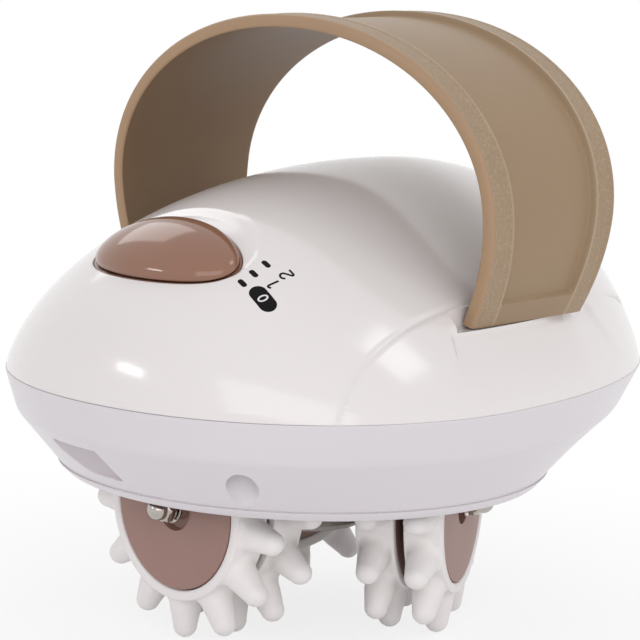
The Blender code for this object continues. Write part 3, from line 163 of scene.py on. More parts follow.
# Strap
STRAP_Y = WIDEST_Y + 0.0184
STRAP_THICKNESS = 0.0030
STRAP_HALF_WIDTHS = (0.0195, 0.0197, 0.0219, 0.0244)
STRAP_FOOT_X = 0.0497
STRAP_FOOT_Z = 0.0720
STRAP_SPAN = 0.0552
SHOULDER_Z = 0.0941
ARCH_RISE = 0.0403
ARCH_POWER = 2.07
TONGUE_Z = 0.0657
TONGUE_INSET = 0.0018
TONGUE_NARROWING = 0.0104

# Lamps by name, degrees round and up, distance, size, watts, and whether gloss shows them
LAMPS = (
    ("key_left", -113, 16, 0.9, (0.20, 0.10), 0.55, True),
    ("right_soft", 28, 51, 1.0, (0.24, 0.24), 0.55, True),
    ("front_fill", -45, 18, 1.3, (1.2, 0.8), 4.1, True),
    ("left_back", 162, 42, 1.1, (0.42, 0.56), 1.1, True),
    ("top_back", 110, 62, 1.1, (0.6, 0.6), 0.80, False),
    ("right_low", 15, 15, 1.2, (0.8, 0.8), 1.00, False),
)
LAMP_TARGET = Vector((0, -0.01, 0.07))
WHITE = (1, 1, 1, 1)
FLOOR_REACH = 6.0
FLOOR_Z = -0.0002

# Photograph's frame, in its pixels
PICTURE_SIZE = 640
PICTURE_FOCAL = 2666.73
PICTURE_CENTRE = (296.16, 352.04)

# Photograph's view: degrees round from the nose, up and of roll, then distance and height of its aim
VIEW_TURN, VIEW_RISE, VIEW_ROLL = 41, 10.03, 1.97
VIEW_DISTANCE = 0.58955
VIEW_AIM_Z = 0.060


# Curves and points

def smoothstep(low, high, value):
    """0 below low, 1 above high, and 3s^2 - 2s^3 between them."""
    share = np.clip((value - low) / (high - low), 0, 1)
    return share * share * (3 - 2 * share)


def signed_power(value, power):
    """|v|^p with the sign of v."""
    return np.sign(value) * np.abs(value) ** power


def full_turn(count):
    return np.linspace(0, 2 * np.pi, count, endpoint=False)


def quarter_turn(count):
    return np.linspace(0, math.pi / 2, count)


def swung(x, y, turn):
    """The point (x, y) turned about the origin: x cos - y sin and x sin + y cos."""
    cosine, sine = math.cos(turn), math.sin(turn)
    return x * cosine - y * sine, x * sine + y * cosine


def polar(reach, angle, height):
    """Points (r cos a, r sin a, z), with r, a and z spread over one grid."""
    reach, angle, height = np.broadcast_arrays(reach, angle, height)
    return np.stack([reach * np.cos(angle), reach * np.sin(angle), height], -1)


def lifted(plan, height):
    """Plan points (x, y) with one height each, or one for all."""
    height = np.broadcast_to(height, plan.shape[:-1])
    return np.concatenate([plan, height[..., None]], -1)


def bent(start, corner, end, count):
    """Quadratic curve: (1 - s)^2 start + 2s (1 - s) corner + s^2 end."""
    share = np.linspace(0, 1, count)[:, None]
    start, corner, end = np.array([start, corner, end])
    return (1 - share) ** 2 * start + 2 * share * (1 - share) * corner + share ** 2 * end


def rounded(profile, radius, steps=5):
    """The closed profile with each corner replaced by a quadratic curve of that reach."""
    profile = np.array(profile, float)
    pieces = []
    for before, corner, after in zip(np.roll(profile, 1, 0), profile, np.roll(profile, -1, 0)):
        lengths = [np.linalg.norm(before - corner), np.linalg.norm(after - corner)]
        reach = min(radius, 0.45 * min(lengths))
        start = corner + (before - corner) / lengths[0] * reach
        end = corner + (after - corner) / lengths[1] * reach
        pieces.append(bent(start, corner, end, steps))
    return np.concatenate(pieces)


def spaced(path, count, extra=()):
    """The path again with evenly spaced points, and extra ones at these distances from both its ends."""
    steps = np.concatenate([[0], np.cumsum(np.linalg.norm(np.diff(path, axis=0), axis=1))])
    extra = np.array(extra)
    even = np.sort(np.concatenate([np.linspace(0, steps[-1], count), extra, steps[-1] - extra]))
    return np.stack([np.interp(even, steps, path[:, k]) for k in range(2)], -1)


def ahead_of(path, closed=False):
    """Unit direction of a path at each point, from the points before and after it."""
    ahead = np.roll(path, -1, 0) - np.roll(path, 1, 0) if closed else np.gradient(path, axis=0)
    return ahead / np.linalg.norm(ahead, axis=1, keepdims=True)


def halved(low, high, inside, steps):
    """Where inside stops holding between low and high, by halving the span again and again."""
    for _ in range(steps):
        middle = (low + high) / 2
        held = inside(middle)
        low = np.where(held, middle, low)
        high = np.where(held, high, middle)
    return low


# Meshes

def wrapped_faces(rows, columns, loop_rows=False):
    """Quads between neighbouring rows; the columns always run round."""
    row = np.arange(rows if loop_rows else rows - 1)[:, None]
    column = np.arange(columns)[None, :]
    after = (column + 1) % columns
    below = (row + 1) % rows
    upper, lower = row * columns, below * columns
    return np.stack([upper + column, upper + after, lower + after, lower + column], -1).reshape(-1, 4)


def fan_faces(row, columns, pole):
    """Triangles from a row of the grid to one point."""
    column = np.arange(columns)
    start = row * columns
    return np.stack([start + column, start + (column + 1) % columns, np.full(columns, pole)], -1)


def volume_of(points, faces):
    """Sum of the signed tetrahedra under each face, positive where the faces look outwards."""
    total = 0.0
    for k in range(1, faces.shape[1] - 1):
        a, b, c = points[faces[:, 0]], points[faces[:, k]], points[faces[:, k + 1]]
        total += float(np.einsum("ij,ij->i", a, np.cross(b, c)).sum())
    return total / 6


def mesh_of(name, points, quads, triangles):
    """A mesh from arrays of points and faces, turned over where its signed volume is negative."""
    if volume_of(points, quads) + volume_of(points, triangles) < 0:
        quads = quads[:, ::-1]
        triangles = triangles[:, ::-1]
    mesh = bpy.data.meshes.new(name)
    counts = np.concatenate([np.full(len(quads), 4), np.full(len(triangles), 3)]).astype(np.int32)
    loops = np.concatenate([quads.ravel(), triangles.ravel()]).astype(np.int32)
    mesh.vertices.add(len(points))
    mesh.vertices.foreach_set("co", points.astype(np.float32).ravel())
    mesh.loops.add(len(loops))
    mesh.loops.foreach_set("vertex_index", loops)
    mesh.polygons.add(len(counts))
    mesh.polygons.foreach_set("loop_start", np.concatenate([[0], np.cumsum(counts)[:-1]]).astype(np.int32))
    mesh.update(calc_edges=True)
    mesh.validate()
    return mesh


def linked(name, data):
    """A new object of that name, linked into the scene."""
    made = bpy.data.objects.new(name, data)
    bpy.context.scene.collection.objects.link(made)
    return made


def add_piece(name, mesh, sharp=SHARP_EDGE):
    """The mesh as a piece, smooth but for edges sharper than an angle."""
    mesh.shade_smooth()
    mesh.set_sharp_from_angle(angle=sharp)
    return linked(name, mesh)


def closed_grid(name, grid, loop_rows=False, first=None, last=None):
    """A closed surface from a grid of points: columns run round, rows loop or end in one point each."""
    grid = np.asarray(grid)
    rows, columns, _ = grid.shape
    points = grid.reshape(-1, 3)
    quads = wrapped_faces(rows, columns, loop_rows)
    triangles = np.zeros((0, 3), int)
    for row, pole, turned in ((0, first, True), (rows - 1, last, False)):
        if pole is not None:
            fan = fan_faces(row, columns, len(points))
            triangles = np.concatenate([triangles, fan[:, ::-1] if turned else fan])
            points = np.concatenate([points, np.array(pole, float).reshape(1, 3)])
    return add_piece(name, mesh_of(name, points, quads, triangles))


def turned_piece(name, profile, sides, place):
    """A turned piece: a closed (radius, height) profile carried round the local Z axis."""
    grid = polar(profile[:, :1], full_turn(sides), profile[:, 1:])
    return closed_grid(name, place(grid), loop_rows=True)


def soft_box(name, low, high, radius):
    """A box with rounded upright edges, as a closed grid of upright walls."""
    outline = rounded([(high[0], high[1]), (low[0], high[1]), (low[0], low[1]), (high[0], low[1])], radius)
    middle = [(low[0] + high[0]) / 2, (low[1] + high[1]) / 2]
    walls = [lifted(outline, level) for level in (low[2], high[2])]
    return closed_grid(name, walls, first=[*middle, low[2]], last=[*middle, high[2]])


def carve(piece, tools):
    """Take the tools' shapes out of a piece, for good, and drop the tools."""
    for tool in tools:
        change = piece.modifiers.new("cut", "BOOLEAN")
        change.operation = "DIFFERENCE"
        change.object = tool
        change.solver = "EXACT"
    bpy.context.view_layer.update()
    carved = bpy.data.meshes.new_from_object(piece.evaluated_get(bpy.context.evaluated_depsgraph_get()))
    piece.modifiers.clear()
    old = piece.data
    piece.data = carved
    bpy.data.meshes.remove(old)
    for tool in tools:
        bpy.data.objects.remove(tool, do_unlink=True)
    carved.set_sharp_from_angle(angle=SHARP_EDGE)


# Shader maths

class Socket:
    """A socket of a node tree that does arithmetic."""

    def __init__(self, wiring, socket):
        self.wiring = wiring
        self.socket = socket

    def math(self, operation, first, second):
        return self.wiring.node("ShaderNodeMath", {"operation": operation}, [first, second])

    def __add__(self, other):
        return self.math("ADD", self, other)

    def __sub__(self, other):
        return self.math("SUBTRACT", self, other)

    def __rsub__(self, other):
        return self.math("SUBTRACT", other, self)

    def __mul__(self, other):
        return self.math("MULTIPLY", self, other)

    __radd__ = __add__
    __rmul__ = __mul__

    def clamp(self):
        return self.wiring.node("ShaderNodeClamp", {}, [self])


class Wiring:
    """A node tree being wired up: one call makes any node, with its settings first."""

    def __init__(self, tree):
        self.tree = tree

    def node(self, kind, settings, values, output=0):
        made = self.tree.nodes.new(kind)
        for key, value in settings.items():
            setattr(made, key, value)
        for key, value in values.items() if isinstance(values, dict) else enumerate(values):
            if isinstance(value, Socket):
                self.tree.links.new(value.socket, made.inputs[key])
            else:
                made.inputs[key].default_value = value
        return Socket(self, made.outputs[output])

    def shown(self):
        """1 for a ray from the camera, off gloss or through glass, and 0 for the light on the object."""
        camera, gloss, glass = [self.node("ShaderNodeLightPath", {}, [], ray)
                                for ray in ("Is Camera Ray", "Is Glossy Ray", "Is Transmission Ray")]
        return (camera + gloss + glass).clamp()

    def end_in(self, name, factor, first, second):
        """A mix of two shaders that goes to the tree's output."""
        mixed = self.node("ShaderNodeMixShader", {}, [factor, first, second])
        self.tree.links.new(mixed.socket, self.tree.nodes[name].inputs["Surface"])


class Finish(Wiring):
    """A material of one Principled shader, whose even values are set on its own sockets."""

    def __init__(self, name, **constants):
        self.material = bpy.data.materials.new(name)
        self.material.use_nodes = True
        super().__init__(self.material.node_tree)
        self.shader = self.tree.nodes["Principled BSDF"]
        for key, value in constants.items():
            self.shader.inputs[key.replace("_", " ")].default_value = value
        self.place = self.node("ShaderNodeTexCoord", {}, [], "Object")

    def noise(self, scale, detail, roughness, vector=None):
        return self.node("ShaderNodeTexNoise", {}, {
            "Vector": vector or self.place, "Scale": scale, "Detail": detail, "Roughness": roughness}, "Fac")

    def mix(self, factor, first, second):
        return self.node("ShaderNodeMix", {"data_type": "RGBA"}, {0: factor, 6: first, 7: second}, 2)

    def step(self, value, low, high, start, end):
        return self.node("ShaderNodeMapRange", {"interpolation_type": "SMOOTHSTEP"}, {
            "Value": value, "From Min": low, "From Max": high, "To Min": start, "To Max": end})

    def bump(self, height, strength, distance):
        return self.node("ShaderNodeBump", {}, {"Strength": strength, "Distance": distance, "Height": height})

    def feed(self, **links):
        for key, value in links.items():
            self.tree.links.new(value.socket, self.shader.inputs[key.replace("_", " ")])
        return self.material


def rgb(red, green, blue):
    """Linear colour from one written in 0-255 sRGB."""
    def linear(value):
        value /= 255
        return value / 12.92 if value <= 0.04045 else ((value + 0.055) / 1.055) ** 2.4
    return (linear(red), linear(green), linear(blue), 1.0)


def moulded(name, colour, shade, roughness, grain, coat=0.0, wear=0.04, coat_roughness=0.04, gloss=0.5):
    """Moulded plastic: faint cloudy colour, fine surface ripple and uneven gloss."""
    finish = Finish(name, Coat_Weight=coat, Coat_Roughness=coat_roughness, IOR=1.5, Specular_IOR_Level=gloss)
    cloud = finish.noise(26.0, 3.0, 0.55)
    speck = finish.noise(900.0, 2.0, 0.6)
    ripple = finish.noise(grain, 2.0, 0.5)
    uneven = (cloud - 0.5) * wear * 2 + (speck - 0.5) * wear + roughness
    return finish.feed(Base_Color=finish.mix(cloud, rgb(*colour), rgb(*shade)), Roughness=uneven.clamp(),
                       Normal=finish.bump(ripple, 0.10, 0.00003))


def rubber(name, colour, shade, light, roughness, grain, depth, dusty=0.35, sparse=0.58):
    """Soft rubber: matt skin with a fine grain, cloudy colour and paler dusty specks."""
    finish = Finish(name, IOR=1.45)
    cloud = finish.noise(38.0, 4.0, 0.6)
    skin = finish.noise(grain, 3.0, 0.65)
    dust = finish.step(finish.noise(grain * 0.45, 4.0, 0.7), sparse, sparse + 0.2, 0.0, 1.0)
    clouded = finish.mix(cloud, rgb(*colour), rgb(*shade))
    return finish.feed(Base_Color=finish.mix(dust * dusty, clouded, rgb(*light)),
                       Roughness=((skin - 0.5) * 0.2 + roughness).clamp(),
                       Normal=finish.bump(skin, 0.35, depth))


def metal(name, colour, shade, roughness, grain=700.0, brushed=(1, 1, 1)):
    """Metal with fine scratches: the noise is stretched along one axis where it is brushed."""
    finish = Finish(name, Metallic=1.0)
    vector = finish.node("ShaderNodeMapping", {}, {"Vector": finish.place, "Scale": brushed})
    scratch = finish.noise(grain, 4.0, 0.7, vector)
    cloud = finish.noise(60.0, 2.0, 0.5)
    return finish.feed(Base_Color=finish.mix(cloud, rgb(*colour), rgb(*shade)),
                       Roughness=((scratch - 0.5) * 0.12 + roughness).clamp(),
                       Normal=finish.bump(scratch, 0.06, 0.00002))


SHELL = moulded("gloss_white_shell", (233, 228, 228), (229, 224, 224), 0.17, 260.0,
                coat=0.35, wear=0.02, coat_roughness=0.10)
HOUSING = moulded("satin_white_housing", (222, 217, 222), (217, 212, 217), 0.30, 420.0, coat=0.1)
# The housing's white made darker as painted shade, for the face of the notch in the nose
HOUSING_PAINTED_SHADE = moulded("painted_shade_on_white_housing", (199, 191, 197), (192, 184, 190), 0.42, 420.0)
TAN = rubber("tan_rubber_skin", (155, 130, 101), (147, 122, 94), (176, 156, 130), 0.42, 2600.0, 0.00003)
TAN_BAND = rubber("tan_rubber_band", (160, 137, 110), (148, 124, 98), (188, 170, 146), 0.46, 3800.0, 0.00008,
                  dusty=0.45, sparse=0.47)
# A lighter tan as a painted highlight along the lips of the bands, with a lower roughness
TAN_LIP_PAINTED_HIGHLIGHT = rubber("tan_rubber_lip_painted_highlight", (174, 151, 122), (162, 139, 111), (194, 175, 148), 0.30, 2600.0, 0.00002)
TAN_EDGE = rubber("tan_rubber_edge", (171, 141, 111), (163, 133, 104), (186, 158, 128), 0.45, 2600.0, 0.00002)
# The strap's tan made darker as painted shade, for its inside that faces the case
TAN_INSIDE_PAINTED_SHADE = rubber("tan_rubber_inside_painted_shade", (132, 107, 81), (122, 98, 73), (142, 118, 92), 0.50, 2600.0, 0.00003)
MOCHA = moulded("gloss_mocha", (146, 105, 85), (140, 99, 79), 0.12, 300.0, coat=0.2, wear=0.02)
MOCHA_MATT = moulded("matt_mocha", (160, 126, 117), (152, 118, 109), 0.46, 1500.0)
SOFT_WHITE = rubber("soft_white_rubber_skin", (243, 239, 238), (238, 234, 233), (248, 246, 245), 0.46,
                    1900.0, 0.00002)
CHROME = metal("bright_chrome", (188, 182, 176), (176, 170, 165), 0.10)
STEEL = metal("plain_steel", (200, 197, 192), (184, 180, 176), 0.28, brushed=(1, 1, 8))
ZINC = metal("zinc_plate", (190, 190, 184), (172, 174, 168), 0.36)
BRONZE = metal("oiled_bronze", (172, 132, 84), (148, 110, 68), 0.42, 1400.0)
NYLON = moulded("cream_nylon", (222, 217, 200), (212, 206, 188), 0.44, 1200.0)
DARK = moulded("dark_plastic", (58, 46, 44), (48, 38, 37), 0.38, 900.0)
BLACK = moulded("black_ink", (13, 12, 13), (17, 15, 16), 0.55, 900.0, gloss=0.12)
CLAY = moulded("grey_carrier_plastic", (168, 160, 154), (158, 150, 144), 0.42, 1100.0)
BOARD = moulded("green_board", (48, 96, 58), (40, 82, 50), 0.40, 1600.0)
LEAD = moulded("red_insulation", (178, 46, 40), (160, 38, 34), 0.42, 1500.0)


def paint(piece, finish):
    """Puts one finish in all the places that a piece has for one."""
    places = piece.data.materials
    for k in range(len(places)):
        places[k] = finish
    if not places:
        places.append(finish)


def paint_parts(piece, finishes, parts):
    """Adds finishes after the first, and says by number which of them each of the first faces has."""
    for finish in finishes:
        piece.data.materials.append(finish)
    every = np.zeros(len(piece.data.polygons), np.int32)
    every[:len(parts)] = parts
    piece.data.polygons.foreach_set("material_index", every)


def dress(piece, finish, body, slot, *nodes):
    """Finish a piece, hang it under its body's empty, and hide the imported nodes that it stands in for."""
    paint(piece, finish)
    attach(piece, body)
    if nodes:
        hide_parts(*nodes)


# Dome

def dome_shares(rise):
    """Shares of half-width and reach left at a rise: (1 - u^1.12)^(1/1.85) and (1 - u^2.19)^(1/2.04)."""
    rise = np.clip(rise, 0, 1)
    width = np.maximum(1 - rise ** 1.12, 1e-9) ** (1 / 1.85)
    length = np.maximum(1 - rise ** 2.19, 1e-9) ** (1 / 2.04)
    return width, length


def dome_level(x, y, rise, inset=0.0):
    """Superellipse level of a point in the section at a rise, less one: negative inside the case."""
    width, length = dome_shares(rise)
    across = np.abs(x) / ((HALF_WIDTH - inset) * width)
    away = y - WIDEST_Y - DOME_PEAK_SHIFT * (1 - length)
    reach = np.where(away < 0, FRONT_REACH - inset, BACK_REACH - inset) * length
    return across ** OUTLINE_POWER + (np.abs(away) / reach) ** OUTLINE_POWER - 1


def dome_height(x, y, inset=0.0):
    """Height of the dome over a point of the plan, where its level is zero."""
    low = np.zeros(np.broadcast(x, y).shape)
    rise = halved(low, np.ones_like(low), lambda tried: dome_level(x, y, tried, inset) < 0, 34)
    return SEAM_Z + (DOME_TOP_Z - inset - SEAM_Z) * rise


def dome_normal(points):
    """Outward direction: the gradient of the level over x, y and z by central differences."""
    def level(moved):
        return dome_level(moved[..., 0], moved[..., 1], (moved[..., 2] - SEAM_Z) / (DOME_TOP_Z - SEAM_Z))
    normal = np.stack([level(points + step) - level(points - step) for step in np.eye(3) * 2e-5], -1)
    return normal / np.maximum(np.linalg.norm(normal, axis=-1, keepdims=True), 1e-12)


def seam_points(angle, inset=0.0):
    """Superellipse of the seam in plan, with a short front reach and a long back one."""
    x = (HALF_WIDTH - inset) * signed_power(np.cos(angle), 2 / OUTLINE_POWER)
    reach = np.where(np.sin(angle) < 0, FRONT_REACH, BACK_REACH) - inset
    y = WIDEST_Y + reach * signed_power(np.sin(angle), 2 / OUTLINE_POWER)
    return np.stack([x, y], -1)


def on_slope(points):
    """Points (across, along, height) of the switch slope, tilted and moved to their place on the nose."""
    points = np.asarray(points)
    along, up = swung(points[..., 1], points[..., 2], SWITCH_TILT)
    return np.stack([points[..., 0], along, up], -1) + np.array(SWITCH_CENTRE)


def recess_oval(angle, margin, share=1.0):
    """Oval of the switch recess on the slope, with a margin added and drawn in to a share."""
    across = (RECESS_HALF_WIDTH + margin) * np.cos(angle) * share + RECESS_SIDE
    along = (RECESS_HALF_LENGTH + margin) * np.sin(angle) * share + RECESS_MIDDLE
    return np.stack([across, along], -1)


def groove_x(y):
    """Line of the side groove in plan: straight, drawn in towards the back and out towards the nose."""
    return GROOVE_X - 3.6 * np.maximum(y, 0) ** 2 + 14 * np.maximum(-y - 0.047, 0) ** 2


def side_relief(points):
    """Depth taken off the dome: a bell-shaped groove along each side, a panel round the strap's foot."""
    x, y, z = np.abs(points[..., 0]), points[..., 1], points[..., 2]
    beyond = x - groove_x(y)
    groove = GROOVE_DEPTH * np.exp(-(beyond / GROOVE_SPREAD) ** 2)
    below = np.maximum(PANEL_TOP_Z - z, 0)
    spread = 0.00035 + 0.12 * below
    edge = PANEL_HALF_LENGTH + PANEL_SPLAY * below - np.abs(y - STRAP_Y)
    along = smoothstep(-1, 1, edge / spread) * (1 - smoothstep(0.0716, 0.0732, z))
    fade = smoothstep(0.0595, 0.0700, z)
    panel = PANEL_DEPTH * along * fade * smoothstep(-0.0001, 0.0004, beyond)
    return groove * (1 - along * smoothstep(0, 0.0003, beyond)) + panel


def dish_relief(x, y):
    """Depth of the thumb dish behind the switch: a shallow step inside a squared oval."""
    behind = np.maximum(y - DISH_START_Y, 0)
    level = np.abs(x / DISH_HALF_WIDTH) ** DISH_POWER + np.abs(behind / DISH_LENGTH) ** DISH_POWER
    inside = smoothstep(0, 0.055, 1 - level ** (1 / DISH_POWER))
    return DISH_DEPTH * inside * smoothstep(-0.0610, -0.0560, y)


def relieved(points):
    """The surface less its reliefs, and less a draft low down that leaves a faint line over the seam."""
    draft = DRAFT_DEPTH * np.clip((SEAM_Z + DRAFT_HEIGHT - points[..., 2]) / DRAFT_HEIGHT, 0, 1)
    depth = side_relief(points) + dish_relief(points[..., 0], points[..., 1]) + draft
    return points - dome_normal(points) * depth[..., None]


def case_on_slope(across, along, inset=0.0):
    """Height of the dome over points of the switch slope, by stepping towards it square to the slope."""
    across, along = np.broadcast_arrays(across, along)
    height = np.zeros(across.shape)
    for _ in range(16):
        point = on_slope(np.stack([across, along, height], -1))
        height += 0.85 * (dome_height(point[..., 0], point[..., 1], inset) - point[..., 2])
    return height


def recess_lip(angle, margin, inset=0.0):
    """Points of the slope where a wall at a margin round the recess meets the dome."""
    oval = recess_oval(angle, margin)
    lip = lifted(oval, case_on_slope(oval[:, 0], oval[:, 1], inset))
    place = on_slope(lip)
    lip[:, 2] -= dish_relief(place[:, 0], place[:, 1])
    return lip


def dome_lining(angle):
    """Rows of the inner wall from the seam up to the recess, lowered under the strap's seats."""
    outline = seam_points(angle, CASE_WALL)
    tub = on_slope(recess_lip(angle, TUB_MARGIN, CASE_WALL))[:, :2]
    share = np.sin(np.pi / 2 * np.linspace(1, 0, 26))[:, None, None]
    plan = tub + (outline - tub) * (share * 0.999)
    rows = lifted(plan, dome_height(plan[..., 0], plan[..., 1], CASE_WALL))
    rows[0, :, 2] = SEAM_Z + 0.0002
    upper = rows[1:]
    beside = smoothstep(0.0425, 0.0450, np.abs(upper[..., 0]))
    beside *= 1 - smoothstep(0.0275, 0.0290, np.abs(upper[..., 1] - STRAP_Y))
    upper[..., 2] -= np.maximum(upper[..., 2] - STRAP_FOOT_Z + 0.0022, 0) * beside
    return rows


def make_dome():
    """Rows run from the recess floor up its wall, over its lip and the dome to the seam, and back inside."""
    angle = full_turn(DOME_COLUMNS) + 1e-4
    floor = -RECESS_DEPTH
    lip = recess_lip(angle, 0)
    rows = [on_slope(lifted(recess_oval(angle, 0, share), floor)) for share in (0.35, 0.7, 0.93, 0.985)]
    for share in (0.02, 0.25, 0.5, 0.75, 0.95):
        rows.append(on_slope(lifted(lip[:, :2], floor + (lip[:, 2] - RECESS_LIP - floor) * share)))
    for turn in quarter_turn(6):
        outer = recess_lip(angle, RECESS_LIP * (1 - math.cos(turn)))
        outer[:, 2] -= RECESS_LIP * (1 - math.sin(turn))
        rows.append(on_slope(outer))
    start = on_slope(recess_lip(angle, RECESS_LIP))[:, :2]
    seam = seam_points(angle)
    share = np.sin(np.pi / 2 * np.linspace(0, 1, DOME_ROWS + 1)[1:])[:, None, None]
    plan = start + (seam - start) * share
    height = np.maximum(dome_height(plan[..., 0], plan[..., 1]), SEAM_Z + 0.00012)
    surface = relieved(lifted(plan, height))
    inward = lifted(seam_points(angle, CASE_WALL) - seam, 0.0) / CASE_WALL
    under = [surface[-1] + inward * step + [0, 0, -0.00006] for step in (0.0002, 0.0012, 0.0020)]
    below = lifted(recess_oval(angle, TUB_MARGIN), -TUB_DEPTH)
    tail = [on_slope(below), on_slope(below * [0.5, 0.5, 1])]
    grid = np.concatenate([rows, surface, under, dome_lining(angle), tail])
    dome = closed_grid("top_shell_skin", grid, first=on_slope([0, 0, floor]),
                       last=on_slope([0, 0, -TUB_DEPTH]))
    cut_slots(dome)
    dress(dome, SHELL, "case", "gloss_white_plastic", "top_shell")


def cut_slots(dome):
    """A flat seat for each foot of the strap, and below it the slot that its tongue goes down."""
    seat = (0.0467, 0.0540, 0.02535, STRAP_FOOT_Z - 0.0002)
    slot = (0.0464, 0.0482, 0.0100, 0.0640)
    tools = []
    for side in (1, -1):
        for inner, outer, half_long, low in (seat, slot):
            near = (min(side * inner, side * outer), STRAP_Y - half_long, low)
            far = (max(side * inner, side * outer), STRAP_Y + half_long, 0.0900)
            tools.append(soft_box("slot_tool", near, far, 0.0005))
    carve(dome, tools)


# Lower housing

def bowl_angles():
    """Column angles about the hub, closer together over the nose's notch and the screw pockets."""
    angle = np.linspace(-math.pi, math.pi, 4001)
    density = np.ones_like(angle)
    for middle, spread, gain in CROWDED:
        away = np.abs((np.degrees(angle) - middle + 180) % 360 - 180)
        density += gain * smoothstep(-spread * 1.4, -spread * 0.9, -away)
    total = np.concatenate([[0], np.cumsum((density[1:] + density[:-1]) / 2)])
    return np.interp(np.arange(HOUSING_COLUMNS) / HOUSING_COLUMNS * total[-1], total, angle)


def seam_reach(angle):
    """Distance of the seam from the hub in each direction, where the dome's level is zero."""
    def inside(reach):
        return dome_level(reach * np.cos(angle), HUB_Y + reach * np.sin(angle), 0.0) < 0
    return halved(np.full(len(angle), 0.02), np.full(len(angle), 0.12), inside, 40)


def on_wall(share):
    """A share of the way from rim to seam, with its height on the straight wall below the crease."""
    return share, RIM_Z + share * (CREASE_Z - RIM_Z) / CREASE_SHARE


def in_pockets(x, y, z, top, near, far):
    """Heights raised to a pocket's top round each screw, with an S-shaped step between two radii."""
    for degrees, distance in POCKETS:
        turn = math.radians(degrees)
        away = np.hypot(x - distance * math.cos(turn), y - HUB_Y - distance * math.sin(turn))
        z = z + np.maximum(top - z, 0) * (1 - smoothstep(near, far, away))
    return z


def in_notch(x, y, z, left, right, ceiling, behind=0.0):
    """Way back to the notch's leaning face, between S-shaped steps at its left, its right and its ceiling."""
    face = NOTCH_FACE_Y + NOTCH_LEAN * (NOTCH_FACE_Z - z) + behind
    across = smoothstep(*left, x) * (1 - smoothstep(*right, x))
    return np.maximum(face - y, 0) * across * (1 - smoothstep(*ceiling, z))


def make_housing():
    """Rows run down the wall by their share from rim to seam, round the rim, up the well and back inside."""
    angle = bowl_angles()
    seam = seam_reach(angle)

    def hub_ring(reach, level):
        return polar(reach, angle, level) + [0, HUB_Y, 0]

    def reach_at(share):
        return RIM_RADIUS + (seam - RIM_RADIUS) * share

    upper = (0.85, CREASE_Z + (SEAM_Z - CREASE_Z) * (0.85 - CREASE_SHARE) / (1 - CREASE_SHARE))
    lower = on_wall(0.775)
    wall = np.concatenate([[(0.99, SEAM_Z), (1.0, SEAM_Z - 0.00015)],
                           np.linspace((0.998, SEAM_Z - 0.0005), upper, 10),
                           bent(upper, on_wall(CREASE_SHARE), lower, 22)[1:],
                           np.linspace(lower, on_wall(LIP_SHARE), 74)[1:]])
    x, y, z = np.moveaxis(hub_ring(reach_at(wall[:, :1]), wall[:, 1:]), -1, 0)
    z = in_pockets(x, y, z, POCKET_TOP_Z, POCKET_RADIUS - 0.00025, POCKET_RADIUS + 0.00015)
    right = NOTCH_RIGHT_X + NOTCH_SLANT * (NOTCH_CEILING_Z - z)
    sunk = in_notch(x, y, z, (NOTCH_LEFT_X - 0.0003, NOTCH_LEFT_X + 0.0003), (right - 0.0003, right + 0.0003),
                    (NOTCH_CEILING_Z - 0.00015, NOTCH_CEILING_Z + 0.00025))
    sunk = sunk * smoothstep(NOTCH_FLOOR_Z, NOTCH_FLOOR_Z + 0.0010, z)
    outer = np.stack([x, y + sunk, z], -1)
    lip_z = on_wall(LIP_SHARE)[1]
    band = [(0.134, -0.00012, lip_z - 0.00004), (0.130, -0.00018, lip_z - 0.00014),
            (0.128, -0.00010, lip_z - 0.00022), (0.125, 0.00028, lip_z - 0.00028),
            (0.11, 0.00042, lip_z - 0.0005), (0.06, 0.00042, RIM_Z + 0.0011),
            (0.03, 0.00034, RIM_Z + 0.0006), (0.012, 0.00012, RIM_Z + 0.00022),
            (0.0, -0.00022, RIM_Z + 0.00004), (0.0, -0.0006, RIM_Z), (0.0, -0.0018, RIM_Z),
            (0.0, -0.0034, RIM_Z)]
    roof = [(WELL_RADIUS + 0.0002, RIM_Z + 0.00006), (WELL_RADIUS, RIM_Z + 0.0003), (WELL_RADIUS, 0.0420),
            (WELL_RADIUS, 0.0520), (WELL_RADIUS, WELL_CEILING_Z - 0.0012),
            (WELL_RADIUS - 0.0004, WELL_CEILING_Z - 0.0003), (WELL_RADIUS - 0.0013, WELL_CEILING_Z),
            (0.0400, WELL_CEILING_Z), (0.0250, WELL_CEILING_Z), (0.0120, WELL_CEILING_Z),
            (BUSH_HOLE, WELL_CEILING_Z), (BUSH_HOLE, ROOF_TOP_Z), (0.0200, ROOF_TOP_Z), (0.0400, ROOF_TOP_Z),
            (WELL_RADIUS + 0.0020, ROOF_TOP_Z), (WELL_RADIUS + 0.0020, 0.0500)]
    rows = [hub_ring(reach_at(share) + step, level) for share, step, level in band]
    rows += [hub_ring(reach, level) for reach, level in roof]
    inner = np.concatenate([np.linspace(on_wall(0.20), on_wall(CREASE_SHARE), 30),
                            np.linspace(on_wall(CREASE_SHARE), (0.985, SEAM_Z), 8)[1:]])
    reach = np.maximum(reach_at(inner[:, :1]) - CASE_WALL, WELL_RADIUS + 0.0021)
    x, y, z = np.moveaxis(hub_ring(reach, inner[:, 1:]), -1, 0)
    z = in_pockets(x, y, z, POCKET_TOP_Z + 0.0018, 0.0052, 0.0066)
    y = y + in_notch(x, y, z, (NOTCH_LEFT_X - 0.0028, NOTCH_LEFT_X - 0.0016),
                     (NOTCH_RIGHT_X + 0.0036, NOTCH_RIGHT_X + 0.0050),
                     (NOTCH_CEILING_Z + 0.0014, NOTCH_CEILING_Z + 0.0024), behind=0.0018)
    grid = np.concatenate([outer, rows, np.stack([x, y, z], -1)])
    housing = closed_grid("lower_housing_skin", grid, loop_rows=True)
    dress(housing, HOUSING, "case", "satin_white_plastic", "lower_housing")
    # Faces that the notch sets back get the housing's white with painted shade
    hollow = sunk > 0.00015
    paint_parts(housing, [HOUSING_PAINTED_SHADE], (hollow[:-1] & np.roll(hollow, -1, 1)[1:]).ravel())


